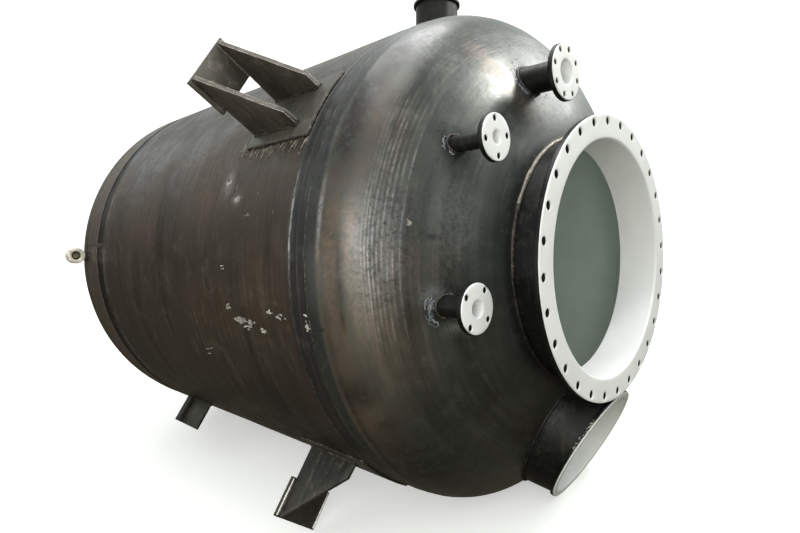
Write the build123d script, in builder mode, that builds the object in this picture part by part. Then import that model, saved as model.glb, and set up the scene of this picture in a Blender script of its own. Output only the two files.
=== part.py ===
"""Horizontal lined steel pressure vessel, nominal diameter 2200.

Frame: X runs along the vessel axis and points out of the big flanged
opening, Z is up, millimetres.  The origin is the centre of the sealing
face of the big flange.  Clock angles are measured round the axis from
straight up towards -Y.  The vessel lies on its shell and on the rim of the
low outlet; its two lower support brackets stop it rolling.
"""
from build123d import *
from math import sin, cos, radians, sqrt, asin
import os

os.makedirs("parts", exist_ok=True)

# ---------------------------------------------------------------- driving sizes
shell_r = 1112.0            # outer radius of the pressure shell
plate_t = 12.0              # shell and head plate
lining_t = 8.0              # white plastic lining

x_front_tan = -595.0        # front head tangent line
x_front_seam = -606.0       # front head to girth ring
x_girth_front = -706.0      # front girth ring to shell course
x_girth_rear = -2680.0      # shell course to rear girth ring
x_rear_ring = -2775.0       # rear girth ring to rear course
x_rear_seam = -2975.0       # rear course to rear head
x_rear_tan = -3000.0        # rear head tangent line
groove_depth = 4.0          # the rear girth ring lies this much lower

crown_r = 1853.0            # outside crown radius of both heads
knuckle_r = 266.0           # outside knuckle radius of both heads

# big flanged opening
main_od, main_t, main_lap = 1175.0, 20.0, 6.0
main_pcd, main_holes, main_hole_d = 1120.0, 28, 30.0
main_first = -5.5                           # clock of the first hole
main_neck_r, main_neck_t, main_lining_t = 508.0, 12.0, 8.0

nozzle_clock = -11.7        # the nozzle clock is turned this far from the brackets

# flanged nozzles on the front head, all parallel to the axis:
# name, face x, radius from axis, clock, flange od, steel t, lap t, lap od,
# pcd, holes, hole d, neck r, neck wall, lining t, clock of the first hole
nozzles = [
    ("inlet_nozzle", -83.5, 768.0, 18.7, 220.0, 18.0, 5.0, 214.0,
     180.0, 8, 18.0, 57.15, 6.0, 3.5, 22.5),
    ("gauge_nozzle", -98.0, 808.0, 59.5, 165.0, 16.0, 5.0, 160.0,
     125.0, 4, 18.0, 30.15, 3.6, 3.0, 0.0),
    ("sample_nozzle", -126.0, 778.0, 101.9, 180.0, 16.0, 5.0, 173.0,
     143.0, 4, 18.0, 38.05, 3.6, 4.5, 45.0),
]

# low outlet nozzle with a turned-out lap ring
out_x, out_rho, out_clock, out_tilt = -155.0, 863.0, 190.4, 28.6
out_lap_r, out_lap_t, out_face_t = 291.0, 12.0, 6.0
out_neck_r, out_base_r, out_wall, out_lining_t = 276.0, 312.0, 12.0, 8.0
out_len = 128.0

# top branch with a turned-out lap ring
top_x, top_neck_r, top_wall, top_lining_t = -958.0, 109.5, 8.0, 5.0
top_ring_r, top_ring_lo, top_ring_t, top_face_t = 121.5, 1324.0, 12.0, 5.0

# support brackets, four round the shell: name, clock, sides that have a rib.
# The two upper ones have a pair of ribs, the two lower ones a single rib each
bracket_clocks = [("bracket_a", 45.6, (-1, 1)), ("bracket_b", 134.4, (-1,)),
                  ("bracket_c", 225.6, (1,)), ("bracket_d", 314.4, (-1, 1))]
pad_t, pad_x0, pad_x1, pad_half_deg = 10.0, -1134.0, -714.0, 8.2
rib_off, rib_t = 97.0, 16.0                 # rib middle from the bracket middle
rib_rear_x, rib_front_x = -1108.0, -804.0
rib_nose_x, rib_nose_r, rib_tip_x, rib_tip_r = -810.0, 1185.0, -1096.0, 1444.0
base_t, base_half_w, base_r0, base_r1 = 16.0, 125.0, 1270.0, 1447.4

# small rear brackets
rear_br_clocks = [134.4, 225.6]
rear_br_x0, rear_br_x1, rear_br_top, rear_br_t = -2531.0, -2279.0, 1276.0, 16.0
rear_bar_w, rear_bar_t = 48.0, 26.0

# round eyes on the rear course, one each side of the upright through the top
# branch, with a blind bore from the front
eye_clocks = [77.8, 258.8]
eye_x0, eye_x1, eye_rho, eye_r, eye_bore_r = -2996.0, -2936.0, 1180.0, 51.0, 27.0
eye_bore_depth = 34.0


# ---------------------------------------------------------------- geometry help
def radial(clock):
    a = radians(clock)
    return Vector(0, -sin(a), cos(a))


def tangent(clock):
    a = radians(clock)
    return Vector(0, -cos(a), -sin(a))


def bracket_plane(clock, off=0.0):
    """local x = vessel axis, local y = radially out, normal = clockwise"""
    t = tangent(clock)
    return Plane(origin=(0, t.Y * off, t.Z * off), x_dir=(1, 0, 0), z_dir=(0, t.Y, t.Z))


def head_points(inset, x_tan, sign):
    """tangent, mid-knuckle, knuckle end, mid-crown and crown of a dished head"""
    rk, rs, rc = knuckle_r - inset, crown_r - inset, shell_r - inset
    c = rc - rk                                   # knuckle centre radius
    a0 = asin(c / (rs - rk))                      # angle where crown takes over
    xs = -(rs - rk) * cos(a0)                     # crown centre from tangent line
    am = (a0 + radians(90)) / 2
    pts = [(0, rc),
           (rk * cos(am), c + rk * sin(am)),
           (rk * cos(a0), c + rk * sin(a0)),
           (xs + rs * cos(a0 / 2), rs * sin(a0 / 2)),
           (xs + rs, 0.0)]
    return [(x_tan + sign * px, pr) for px, pr in pts]


def inside_volume(inset):
    """the room inside the front head, as a cutting body"""
    i = head_points(inset, x_front_tan, 1)
    with BuildPart() as p:
        with BuildSketch(Plane.XZ):
            with BuildLine():
                Line((-1500, 0), (-1500, i[0][1]))
                Line((-1500, i[0][1]), i[0])
                ThreePointArc(i[0], i[1], i[2])
                ThreePointArc(i[2], i[3], i[4])
                Line(i[4], (-1500, 0))
            make_face()
        revolve(axis=Axis.X)
    return p.part


def save(piece, label):
    piece.label = label
    export_step(piece, "parts/%s.step" % label)


room_steel = inside_volume(plate_t)                   # inside of the steel
room_lined = inside_volume(plate_t + lining_t)        # inside of the lining


def nozzle_place(rho, clock):
    c = radians(clock + nozzle_clock)
    return -rho * sin(c), rho * cos(c)


places = {n[0]: nozzle_place(n[2], n[3]) for n in nozzles}

# the outlet's frame: local z along its axis, outwards
oc = radians(out_clock + nozzle_clock)
ot = radians(out_tilt)
out_face = Vector(out_x, -out_rho * sin(oc), out_rho * cos(oc))
out_dir = Vector(cos(ot), -sin(ot) * sin(oc), sin(ot) * cos(oc))
out_side = Vector(0, -cos(oc), -sin(oc))
out_plane = Plane(origin=(out_face.X, out_face.Y, out_face.Z),
                  x_dir=(0, out_side.Y, out_side.Z),
                  z_dir=(out_dir.X, out_dir.Y, out_dir.Z))

# ---------------------------------------------------------------- shell
top_dir = radial(nozzle_clock)
top_plane = Plane(origin=(top_x, 0, 0), x_dir=(1, 0, 0), z_dir=(0, top_dir.Y, top_dir.Z))

with BuildPart() as shell_course:
    with BuildSketch(Plane.XZ):
        with Locations(((x_girth_rear + x_girth_front) / 2, shell_r - plate_t / 2)):
            Rectangle(x_girth_front - x_girth_rear, plate_t)
    revolve(axis=Axis.X)
    with BuildSketch(top_plane):
        Circle(top_neck_r)
    extrude(amount=1400, mode=Mode.SUBTRACT)
save(shell_course.part, "shell_course")

with BuildPart() as front_girth_ring:
    with BuildSketch(Plane.XZ):
        with Locations(((x_girth_front + x_front_seam) / 2, shell_r - plate_t / 2)):
            Rectangle(x_front_seam - x_girth_front, plate_t)
    revolve(axis=Axis.X)
save(front_girth_ring.part, "front_girth_ring")

with BuildPart() as rear_girth_ring:
    with BuildSketch(Plane.XZ):
        with Locations(((x_girth_rear + x_rear_ring) / 2,
                        shell_r - groove_depth - (plate_t - groove_depth) / 2)):
            Rectangle(x_girth_rear - x_rear_ring, plate_t - groove_depth)
    revolve(axis=Axis.X)
save(rear_girth_ring.part, "rear_girth_ring")

with BuildPart() as rear_course:
    with BuildSketch(Plane.XZ):
        with Locations(((x_rear_ring + x_rear_seam) / 2, shell_r - plate_t / 2)):
            Rectangle(x_rear_ring - x_rear_seam, plate_t)
    revolve(axis=Axis.X)
save(rear_course.part, "rear_course")

# ---------------------------------------------------------------- heads
with BuildPart() as front_head:
    with BuildSketch(Plane.XZ):
        o = head_points(0, x_front_tan, 1)
        i = head_points(plate_t, x_front_tan, 1)
        with BuildLine():
            Line((x_front_seam, o[0][1]), o[0])
            ThreePointArc(o[0], o[1], o[2])
            ThreePointArc(o[2], o[3], o[4])
            Line(o[4], i[4])
            ThreePointArc(i[4], i[3], i[2])
            ThreePointArc(i[2], i[1], i[0])
            Line(i[0], (x_front_seam, i[0][1]))
            Line((x_front_seam, i[0][1]), (x_front_seam, o[0][1]))
        make_face()
    revolve(axis=Axis.X)
    with BuildSketch(Plane.YZ):
        Circle(main_neck_r)
        for n in nozzles:
            with Locations(places[n[0]]):
                Circle(n[11])
    extrude(amount=-560, mode=Mode.SUBTRACT)
    with BuildSketch(out_plane.offset(-420)):
        Circle(out_base_r)
    extrude(amount=420, mode=Mode.SUBTRACT)
save(front_head.part, "front_head")

with BuildPart() as rear_head:
    with BuildSketch(Plane.XZ):
        o = head_points(0, x_rear_tan, -1)
        i = head_points(plate_t, x_rear_tan, -1)
        with BuildLine():
            Line((x_rear_seam, o[0][1]), o[0])
            ThreePointArc(o[0], o[1], o[2])
            ThreePointArc(o[2], o[3], o[4])
            Line(o[4], i[4])
            ThreePointArc(i[4], i[3], i[2])
            ThreePointArc(i[2], i[1], i[0])
            Line(i[0], (x_rear_seam, i[0][1]))
            Line((x_rear_seam, i[0][1]), (x_rear_seam, o[0][1]))
        make_face()
    revolve(axis=Axis.X)
save(rear_head.part, "rear_head")

# ---------------------------------------------------------------- lining of the vessel
with BuildPart() as shell_lining:
    with BuildSketch(Plane.XZ):
        with Locations(((x_rear_tan + x_front_tan) / 2, shell_r - plate_t - lining_t / 2)):
            Rectangle(x_front_tan - x_rear_tan, lining_t)
    revolve(axis=Axis.X)
    with BuildSketch(top_plane):
        Circle(top_neck_r - top_wall)
    extrude(amount=1400, mode=Mode.SUBTRACT)
save(shell_lining.part, "shell_lining")

with BuildPart() as front_head_lining:
    with BuildSketch(Plane.XZ):
        o = head_points(plate_t, x_front_tan, 1)
        i = head_points(plate_t + lining_t, x_front_tan, 1)
        with BuildLine():
            ThreePointArc(o[0], o[1], o[2])
            ThreePointArc(o[2], o[3], o[4])
            Line(o[4], i[4])
            ThreePointArc(i[4], i[3], i[2])
            ThreePointArc(i[2], i[1], i[0])
            Line(i[0], o[0])
        make_face()
    revolve(axis=Axis.X)
    with BuildSketch(Plane.YZ):
        Circle(main_neck_r - main_neck_t)
        for n in nozzles:
            with Locations(places[n[0]]):
                Circle(n[11] - n[12])
    extrude(amount=-590, mode=Mode.SUBTRACT)
    with BuildSketch(out_plane.offset(-420)):
        Circle(out_neck_r - out_wall)
    extrude(amount=420, mode=Mode.SUBTRACT)
save(front_head_lining.part, "front_head_lining")

with BuildPart() as rear_head_lining:
    with BuildSketch(Plane.XZ):
        o = head_points(plate_t, x_rear_tan, -1)
        i = head_points(plate_t + lining_t, x_rear_tan, -1)
        with BuildLine():
            ThreePointArc(o[0], o[1], o[2])
            ThreePointArc(o[2], o[3], o[4])
            Line(o[4], i[4])
            ThreePointArc(i[4], i[3], i[2])
            ThreePointArc(i[2], i[1], i[0])
            Line(i[0], o[0])
        make_face()
    revolve(axis=Axis.X)
save(rear_head_lining.part, "rear_head_lining")

# ---------------------------------------------------------------- big flanged opening
main_back = -main_lap - main_t
with BuildPart() as main_flange:
    with BuildSketch(Plane.YZ.offset(main_back)):
        Circle(main_od / 2)
        Circle(main_neck_r, mode=Mode.SUBTRACT)
        with PolarLocations(main_pcd / 2, main_holes,
                            start_angle=90 + main_first):
            Circle(main_hole_d / 2, mode=Mode.SUBTRACT)
    extrude(amount=main_t)
save(main_flange.part, "main_flange")

with BuildPart() as main_neck:
    with BuildSketch(Plane.YZ.offset(-main_lap)):
        Circle(main_neck_r)
        Circle(main_neck_r - main_neck_t, mode=Mode.SUBTRACT)
    extrude(amount=-400)
    add(room_steel, mode=Mode.SUBTRACT)
save(main_neck.part, "main_neck")

lip = 10.0
with BuildPart() as main_neck_lining:
    with BuildSketch(Plane.XZ):
        ri = main_neck_r - main_neck_t - main_lining_t
        ro = main_neck_r - main_neck_t
        with BuildLine():
            Line((-400, ri), (-400, ro))
            Line((-400, ro), (-main_lap, ro))
            Line((-main_lap, ro), (-main_lap, main_od / 2))
            Line((-main_lap, main_od / 2), (0, main_od / 2))
            Line((0, main_od / 2), (0, ri + lip))
            ThreePointArc((0, ri + lip),
                          (-lip + lip * cos(radians(45)), ri + lip - lip * sin(radians(45))),
                          (-lip, ri))
            Line((-lip, ri), (-400, ri))
        make_face()
    revolve(axis=Axis.X)
    with BuildSketch(Plane.YZ.offset(-main_lap)):
        with PolarLocations(main_pcd / 2, main_holes,
                            start_angle=90 + main_first):
            Circle(main_hole_d / 2)
    extrude(amount=main_lap, mode=Mode.SUBTRACT)
    add(room_lined, mode=Mode.SUBTRACT)
save(main_neck_lining.part, "main_neck_lining")

# ---------------------------------------------------------------- flanged nozzles on the head
for (name, fx, rho, clock, od, st, lap, lap_od, pcd, count, hd, nr, nw, lt, first) in nozzles:
    cy, cz = places[name]
    start = 90 + first
    with BuildPart() as nozzle_flange:
        with BuildSketch(Plane.YZ.offset(fx - lap - st)):
            with Locations((cy, cz)):
                Circle(od / 2)
                Circle(nr, mode=Mode.SUBTRACT)
                with PolarLocations(pcd / 2, count, start_angle=start):
                    Circle(hd / 2, mode=Mode.SUBTRACT)
        extrude(amount=st)
    save(nozzle_flange.part, name + "_flange")

    with BuildPart() as nozzle_neck:
        with BuildSketch(Plane.YZ.offset(fx - lap)):
            with Locations((cy, cz)):
                Circle(nr)
                Circle(nr - nw, mode=Mode.SUBTRACT)
        extrude(amount=-420)
        add(room_steel, mode=Mode.SUBTRACT)
    save(nozzle_neck.part, name + "_neck")

    with BuildPart() as nozzle_lining:
        with BuildSketch(Plane.YZ.offset(fx - lap)):
            with Locations((cy, cz)):
                Circle(nr - nw)
        extrude(amount=-420)
        with BuildSketch(Plane.YZ.offset(fx - lap)):
            with Locations((cy, cz)):
                Circle(lap_od / 2)
        extrude(amount=lap)
        with BuildSketch(Plane.YZ.offset(fx)):
            with Locations((cy, cz)):
                Circle(nr - nw - lt)
        extrude(amount=-430, mode=Mode.SUBTRACT)
        with BuildSketch(Plane.YZ.offset(fx - lap)):
            with Locations((cy, cz)):
                with PolarLocations(pcd / 2, count, start_angle=start):
                    Circle(hd / 2)
        extrude(amount=lap, mode=Mode.SUBTRACT)
        add(room_lined, mode=Mode.SUBTRACT)
    save(nozzle_lining.part, name + "_lining")

# ---------------------------------------------------------------- low outlet nozzle
with BuildPart() as outlet_neck:
    with BuildSketch(out_plane.offset(-out_face_t)):
        Circle(out_neck_r)
    with BuildSketch(out_plane.offset(-out_face_t - out_len)):
        Circle(out_base_r)
    loft()
    with BuildSketch(out_plane.offset(-out_face_t - out_len)):
        Circle(out_base_r)
    extrude(amount=-290)
    with BuildSketch(out_plane.offset(-out_face_t)):
        Circle(out_neck_r - out_wall)
    extrude(amount=-420, mode=Mode.SUBTRACT)
    with BuildSketch(Plane.YZ):
        Circle(main_neck_r)
    extrude(amount=-600, mode=Mode.SUBTRACT)
    add(room_steel, mode=Mode.SUBTRACT)
save(outlet_neck.part, "outlet_neck")

with BuildPart() as outlet_ring:
    with BuildSketch(out_plane.offset(-out_face_t - out_lap_t)):
        Circle(out_lap_r)
        Circle(out_neck_r + 4.0, mode=Mode.SUBTRACT)
    extrude(amount=out_lap_t)
save(outlet_ring.part, "outlet_ring")

with BuildPart() as outlet_lining:
    with BuildSketch(out_plane.offset(-out_face_t)):
        Circle(out_neck_r - out_wall)
    extrude(amount=-420)
    with BuildSketch(out_plane.offset(-out_face_t)):
        Circle(out_lap_r - 3.0)
    extrude(amount=out_face_t)
    with BuildSketch(out_plane):
        Circle(out_neck_r - out_wall - out_lining_t)
    extrude(amount=-430, mode=Mode.SUBTRACT)
    add(room_lined, mode=Mode.SUBTRACT)
save(outlet_lining.part, "outlet_lining")

# ---------------------------------------------------------------- top branch
with BuildPart() as top_neck:
    with BuildSketch(top_plane.offset(900)):
        Circle(top_neck_r)
        Circle(top_neck_r - top_wall, mode=Mode.SUBTRACT)
    extrude(amount=top_ring_lo + top_ring_t - 900)
    with BuildSketch(Plane.YZ.offset(-1400)):
        Circle(shell_r - plate_t)
    extrude(amount=900, mode=Mode.SUBTRACT)
save(top_neck.part, "top_neck")

with BuildPart() as top_ring:
    with BuildSketch(top_plane.offset(top_ring_lo)):
        Circle(top_ring_r)
        Circle(top_neck_r, mode=Mode.SUBTRACT)
    extrude(amount=top_ring_t)
save(top_ring.part, "top_ring")

with BuildPart() as top_lining:
    with BuildSketch(top_plane.offset(900)):
        Circle(top_neck_r - top_wall)
    extrude(amount=top_ring_lo + top_ring_t - 900)
    with BuildSketch(top_plane.offset(top_ring_lo + top_ring_t)):
        Circle(top_ring_r - 2.0)
    extrude(amount=top_face_t)
    with BuildSketch(top_plane.offset(890)):
        Circle(top_neck_r - top_wall - top_lining_t)
    extrude(amount=500, mode=Mode.SUBTRACT)
    with BuildSketch(Plane.YZ.offset(-1400)):
        Circle(shell_r - plate_t - lining_t)
    extrude(amount=900, mode=Mode.SUBTRACT)
save(top_lining.part, "top_lining")

# ---------------------------------------------------------------- support brackets
for name, clock, rib_sides in bracket_clocks:
    with BuildPart() as pad:
        with BuildSketch(bracket_plane(clock - pad_half_deg)):
            with Locations(((pad_x0 + pad_x1) / 2, shell_r + pad_t / 2)):
                Rectangle(pad_x1 - pad_x0, pad_t)
        revolve(axis=Axis.X, revolution_arc=2 * pad_half_deg)
    save(pad.part, name + "_pad")

    with BuildPart() as ribs:
        for s in rib_sides:
            with BuildSketch(bracket_plane(clock, s * rib_off - rib_t / 2)):
                with BuildLine():
                    Polyline((rib_rear_x, 1095), (rib_front_x, 1095),
                             (rib_front_x, shell_r + pad_t + 6), (rib_nose_x, rib_nose_r),
                             (rib_tip_x, rib_tip_r), (rib_rear_x, rib_tip_r), close=True)
                make_face()
            extrude(amount=rib_t)
        with BuildSketch(Plane.YZ.offset(-1300)):
            Circle(shell_r + pad_t)
        extrude(amount=700, mode=Mode.SUBTRACT)
    save(ribs.part, name + ("_ribs" if len(rib_sides) == 2 else "_rib"))

    with BuildPart() as base_plate:
        with BuildSketch(bracket_plane(clock, -base_half_w)):
            with Locations((rib_rear_x - base_t / 2, (base_r0 + base_r1) / 2)):
                Rectangle(base_t, base_r1 - base_r0)
        extrude(amount=2 * base_half_w)
    save(base_plate.part, name + "_base_plate")

# ---------------------------------------------------------------- rear brackets
for name, clock, side in (("rear_bracket_left", rear_br_clocks[0], -1),
                          ("rear_bracket_right", rear_br_clocks[1], 1)):
    with BuildPart() as rear_bracket:
        with BuildSketch(bracket_plane(clock, -rear_br_t / 2)):
            with Locations(((rear_br_x0 + rear_br_x1) / 2, (1090 + rear_br_top) / 2)):
                Rectangle(rear_br_x1 - rear_br_x0, rear_br_top - 1090)
        extrude(amount=rear_br_t)
        with BuildSketch(bracket_plane(clock, side * rear_br_t / 2)):
            with Locations((rear_br_x0 + rear_bar_w / 2, (1090 + rear_br_top) / 2)):
                Rectangle(rear_bar_w, rear_br_top - 1090)
        extrude(amount=side * rear_bar_t)
        with BuildSketch(Plane.YZ.offset(-2700)):
            Circle(shell_r)
        extrude(amount=600, mode=Mode.SUBTRACT)
    save(rear_bracket.part, name)

# ---------------------------------------------------------------- rear eyes
for name, clock in (("rear_eye_left", eye_clocks[0]), ("rear_eye_right", eye_clocks[1])):
    e = radial(clock)
    with BuildPart() as eye:
        with BuildSketch(Plane.YZ.offset(eye_x0)):
            with Locations((e.Y * eye_rho, e.Z * eye_rho)):
                Circle(eye_r)
        extrude(amount=eye_x1 - eye_x0)
        with BuildSketch(bracket_plane(clock, -26)):
            with Locations(((eye_x0 + eye_x1) / 2, (1103 + eye_rho - eye_r + 8) / 2)):
                Rectangle(44, eye_rho - eye_r + 8 - 1103)
        extrude(amount=52)
        with BuildSketch(Plane.YZ.offset(eye_x1 - eye_bore_depth)):
            with Locations((e.Y * eye_rho, e.Z * eye_rho)):
                Circle(eye_bore_r)
        extrude(amount=eye_bore_depth + 10, mode=Mode.SUBTRACT)
        with BuildSketch(Plane.YZ.offset(-3100)):
            Circle(shell_r)
        extrude(amount=300, mode=Mode.SUBTRACT)
    save(eye.part, name)
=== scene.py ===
import bpy
import bmesh
import math
import random
import numpy as np
from mathutils import Matrix, Vector


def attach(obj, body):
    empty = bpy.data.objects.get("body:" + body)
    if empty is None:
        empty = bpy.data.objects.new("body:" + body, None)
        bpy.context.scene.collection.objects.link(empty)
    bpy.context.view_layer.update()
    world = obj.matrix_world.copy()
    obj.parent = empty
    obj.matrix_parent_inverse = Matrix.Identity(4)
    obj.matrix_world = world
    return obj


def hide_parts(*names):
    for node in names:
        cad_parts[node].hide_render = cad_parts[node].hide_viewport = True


# Lined steel pressure vessel.  Lengths in this script are millimetres until a
# mesh is made.  X is the vessel axis, clock angles run from up towards -Y.
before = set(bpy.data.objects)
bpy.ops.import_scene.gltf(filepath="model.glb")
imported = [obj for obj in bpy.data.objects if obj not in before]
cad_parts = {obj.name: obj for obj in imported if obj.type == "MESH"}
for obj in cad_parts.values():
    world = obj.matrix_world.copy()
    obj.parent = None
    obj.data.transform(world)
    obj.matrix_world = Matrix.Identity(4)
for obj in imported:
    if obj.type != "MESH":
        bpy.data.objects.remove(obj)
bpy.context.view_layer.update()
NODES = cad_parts
rng = np.random.default_rng(41)
random.seed(41)
MM = 0.001

R, PLATE, LINING = 1112.0, 12.0, 8.0
XT, XRT = -595.0, -3000.0
RS, RK = 1853.0, 266.0
CK = R - RK
A0 = math.asin(CK / (RS - RK))
XS = -(RS - RK) * math.cos(A0)
NCLK = -11.7
NOZ = [("inlet_nozzle", -83.5, 768.0, 18.7, 220.0, 18.0, 5.0, 214.0, 180.0, 8, 18.0, 57.15, 6.0, 3.5, 22.5),
       ("gauge_nozzle", -98.0, 808.0, 59.5, 165.0, 16.0, 5.0, 160.0, 125.0, 4, 18.0, 30.15, 3.6, 3.0, 0.0),
       ("sample_nozzle", -126.0, 778.0, 101.9, 180.0, 16.0, 5.0, 173.0, 143.0, 4, 18.0, 38.05, 3.6, 4.5, 45.0)]
PLACE = {n[0]: (-n[2] * math.sin(math.radians(n[3] + NCLK)), n[2] * math.cos(math.radians(n[3] + NCLK))) for n in NOZ}
OC, OT = math.radians(190.4 + NCLK), math.radians(28.6)
O_FACE = np.array([-155.0, -863 * math.sin(OC), 863 * math.cos(OC)])
O_DIR = np.array([math.cos(OT), -math.sin(OT) * math.sin(OC), math.sin(OT) * math.cos(OC)])
O_SIDE = np.array([0.0, -math.cos(OC), -math.sin(OC)])
O_UP = np.cross(O_DIR, O_SIDE)
T_DIR = np.array([0.0, -math.sin(math.radians(NCLK)), math.cos(math.radians(NCLK))])
T_SIDE = np.array([0.0, -math.cos(math.radians(NCLK)), -math.sin(math.radians(NCLK))])
TOP_X, TOP_R = -958.0, 109.5


# ------------------------------------------------------------------ geometry
def radial(c):
    a = np.radians(c)
    return np.stack([np.zeros_like(a), -np.sin(a), np.cos(a)], -1)


def tangent(c):
    a = np.radians(c)
    return np.stack([np.zeros_like(a), -np.cos(a), -np.sin(a)], -1)


def head_x(rho, inset=0.0):
    """x of the front head's surface at a radius"""
    rho = np.asarray(rho, float)
    rk, rs = RK - inset, RS - inset
    crown = XT + XS + np.sqrt(np.maximum(rs * rs - rho * rho, 1.0))
    kn = XT + np.sqrt(np.maximum(rk * rk - (rho - CK) ** 2, 0.0))
    return np.where(rho > CK + rk * math.sin(A0), kn, crown)


def head_n(rho):
    """outward normal (nx, nr) of the front head"""
    rho = np.asarray(rho, float)
    s = np.where(rho > CK + RK * math.sin(A0), np.clip((rho - CK) / RK, -1, 1), rho / RS)
    return np.sqrt(np.maximum(1 - s * s, 0)), s


WV = []
for k in range(60):
    d = rng.normal(size=3)
    d /= np.linalg.norm(d)
    WV.append((d, rng.uniform(0, 6.283)))


def wave(P, size, seed=0, n=12):
    """smooth quasi random field, about -1 to 1, features of the given size in mm"""
    out = np.zeros(P.shape[:-1])
    for i in range(n):
        d, ph = WV[(seed * 7 + i) % 60]
        out += np.sin((P @ d) * (6.283 / size) * (0.7 + 0.09 * i) + ph + seed)
    return out / math.sqrt(n) / 1.4


def new_mesh(name, verts, faces, mat, smooth=38, attrs=None, mats=None, face_mat=None):
    me = bpy.data.meshes.new(name)
    verts = np.asarray(verts, float) * MM
    me.vertices.add(len(verts))
    me.vertices.foreach_set("co", verts.astype(np.float32).ravel())
    if isinstance(faces, np.ndarray):
        n, k = faces.shape
        me.loops.add(n * k)
        me.loops.foreach_set("vertex_index", faces.astype(np.int32).ravel())
        me.polygons.add(n)
        me.polygons.foreach_set("loop_start", np.arange(0, n * k, k, dtype=np.int32))
    else:
        tot = sum(len(f) for f in faces)
        me.loops.add(tot)
        me.loops.foreach_set("vertex_index", np.array([i for f in faces for i in f], np.int32))
        me.polygons.add(len(faces))
        st = np.cumsum([0] + [len(f) for f in faces[:-1]])
        me.polygons.foreach_set("loop_start", st.astype(np.int32))
    me.update(calc_edges=True)
    me.validate()
    for a, v in (attrs or {}).items():
        at = me.attributes.new(a, "FLOAT", "POINT")
        at.data.foreach_set("value", np.asarray(v, np.float32).ravel())
    for m in (mats or [mat]):
        me.materials.append(m)
    if face_mat is not None:
        me.polygons.foreach_set("material_index", np.asarray(face_mat, np.int32))
    me.polygons.foreach_set("use_smooth", np.ones(len(me.polygons), bool))
    me.set_sharp_from_angle(angle=math.radians(smooth))
    ob = bpy.data.objects.new(name, me)
    bpy.context.scene.collection.objects.link(ob)
    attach(ob, "root")
    return ob


def weld(ob, dist=0.02):
    bm = bmesh.new()
    bm.from_mesh(ob.data)
    bmesh.ops.remove_doubles(bm, verts=bm.verts, dist=dist * MM)
    bmesh.ops.recalc_face_normals(bm, faces=bm.faces)
    bm.to_mesh(ob.data)
    bm.free()
    ob.data.set_sharp_from_angle(angle=math.radians(38))


def join_parts(parts):
    V, F, o = [], [], 0
    for v, f in parts:
        V.append(np.asarray(v, float))
        F += [tuple(int(i) + o for i in q) for q in f]
        o += len(v)
    return np.concatenate(V), F


# columns round the vessel, closer together on the side that shows
CL = np.concatenate([np.arange(8, 168, 0.38), np.arange(168, 368, 1.25)])
NC = len(CL)


def grid_faces(nr, nc, closed=True):
    i = np.arange(nr - 1)[:, None]
    j = np.arange(nc if closed else nc - 1)[None, :]
    j2 = (j + 1) % nc
    return np.stack([i * nc + j, i * nc + j2, (i + 1) * nc + j2, (i + 1) * nc + j], -1).reshape(-1, 4)


def bump(x, c, w):
    return np.exp(-((x - c) / w) ** 2)


def sstep(x, a, b):
    t = np.clip((x - a) / (b - a), 0, 1)
    return t * t * (3 - 2 * t)


def cdist(c, c0):
    return (c - c0 + 180) % 360 - 180


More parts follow.
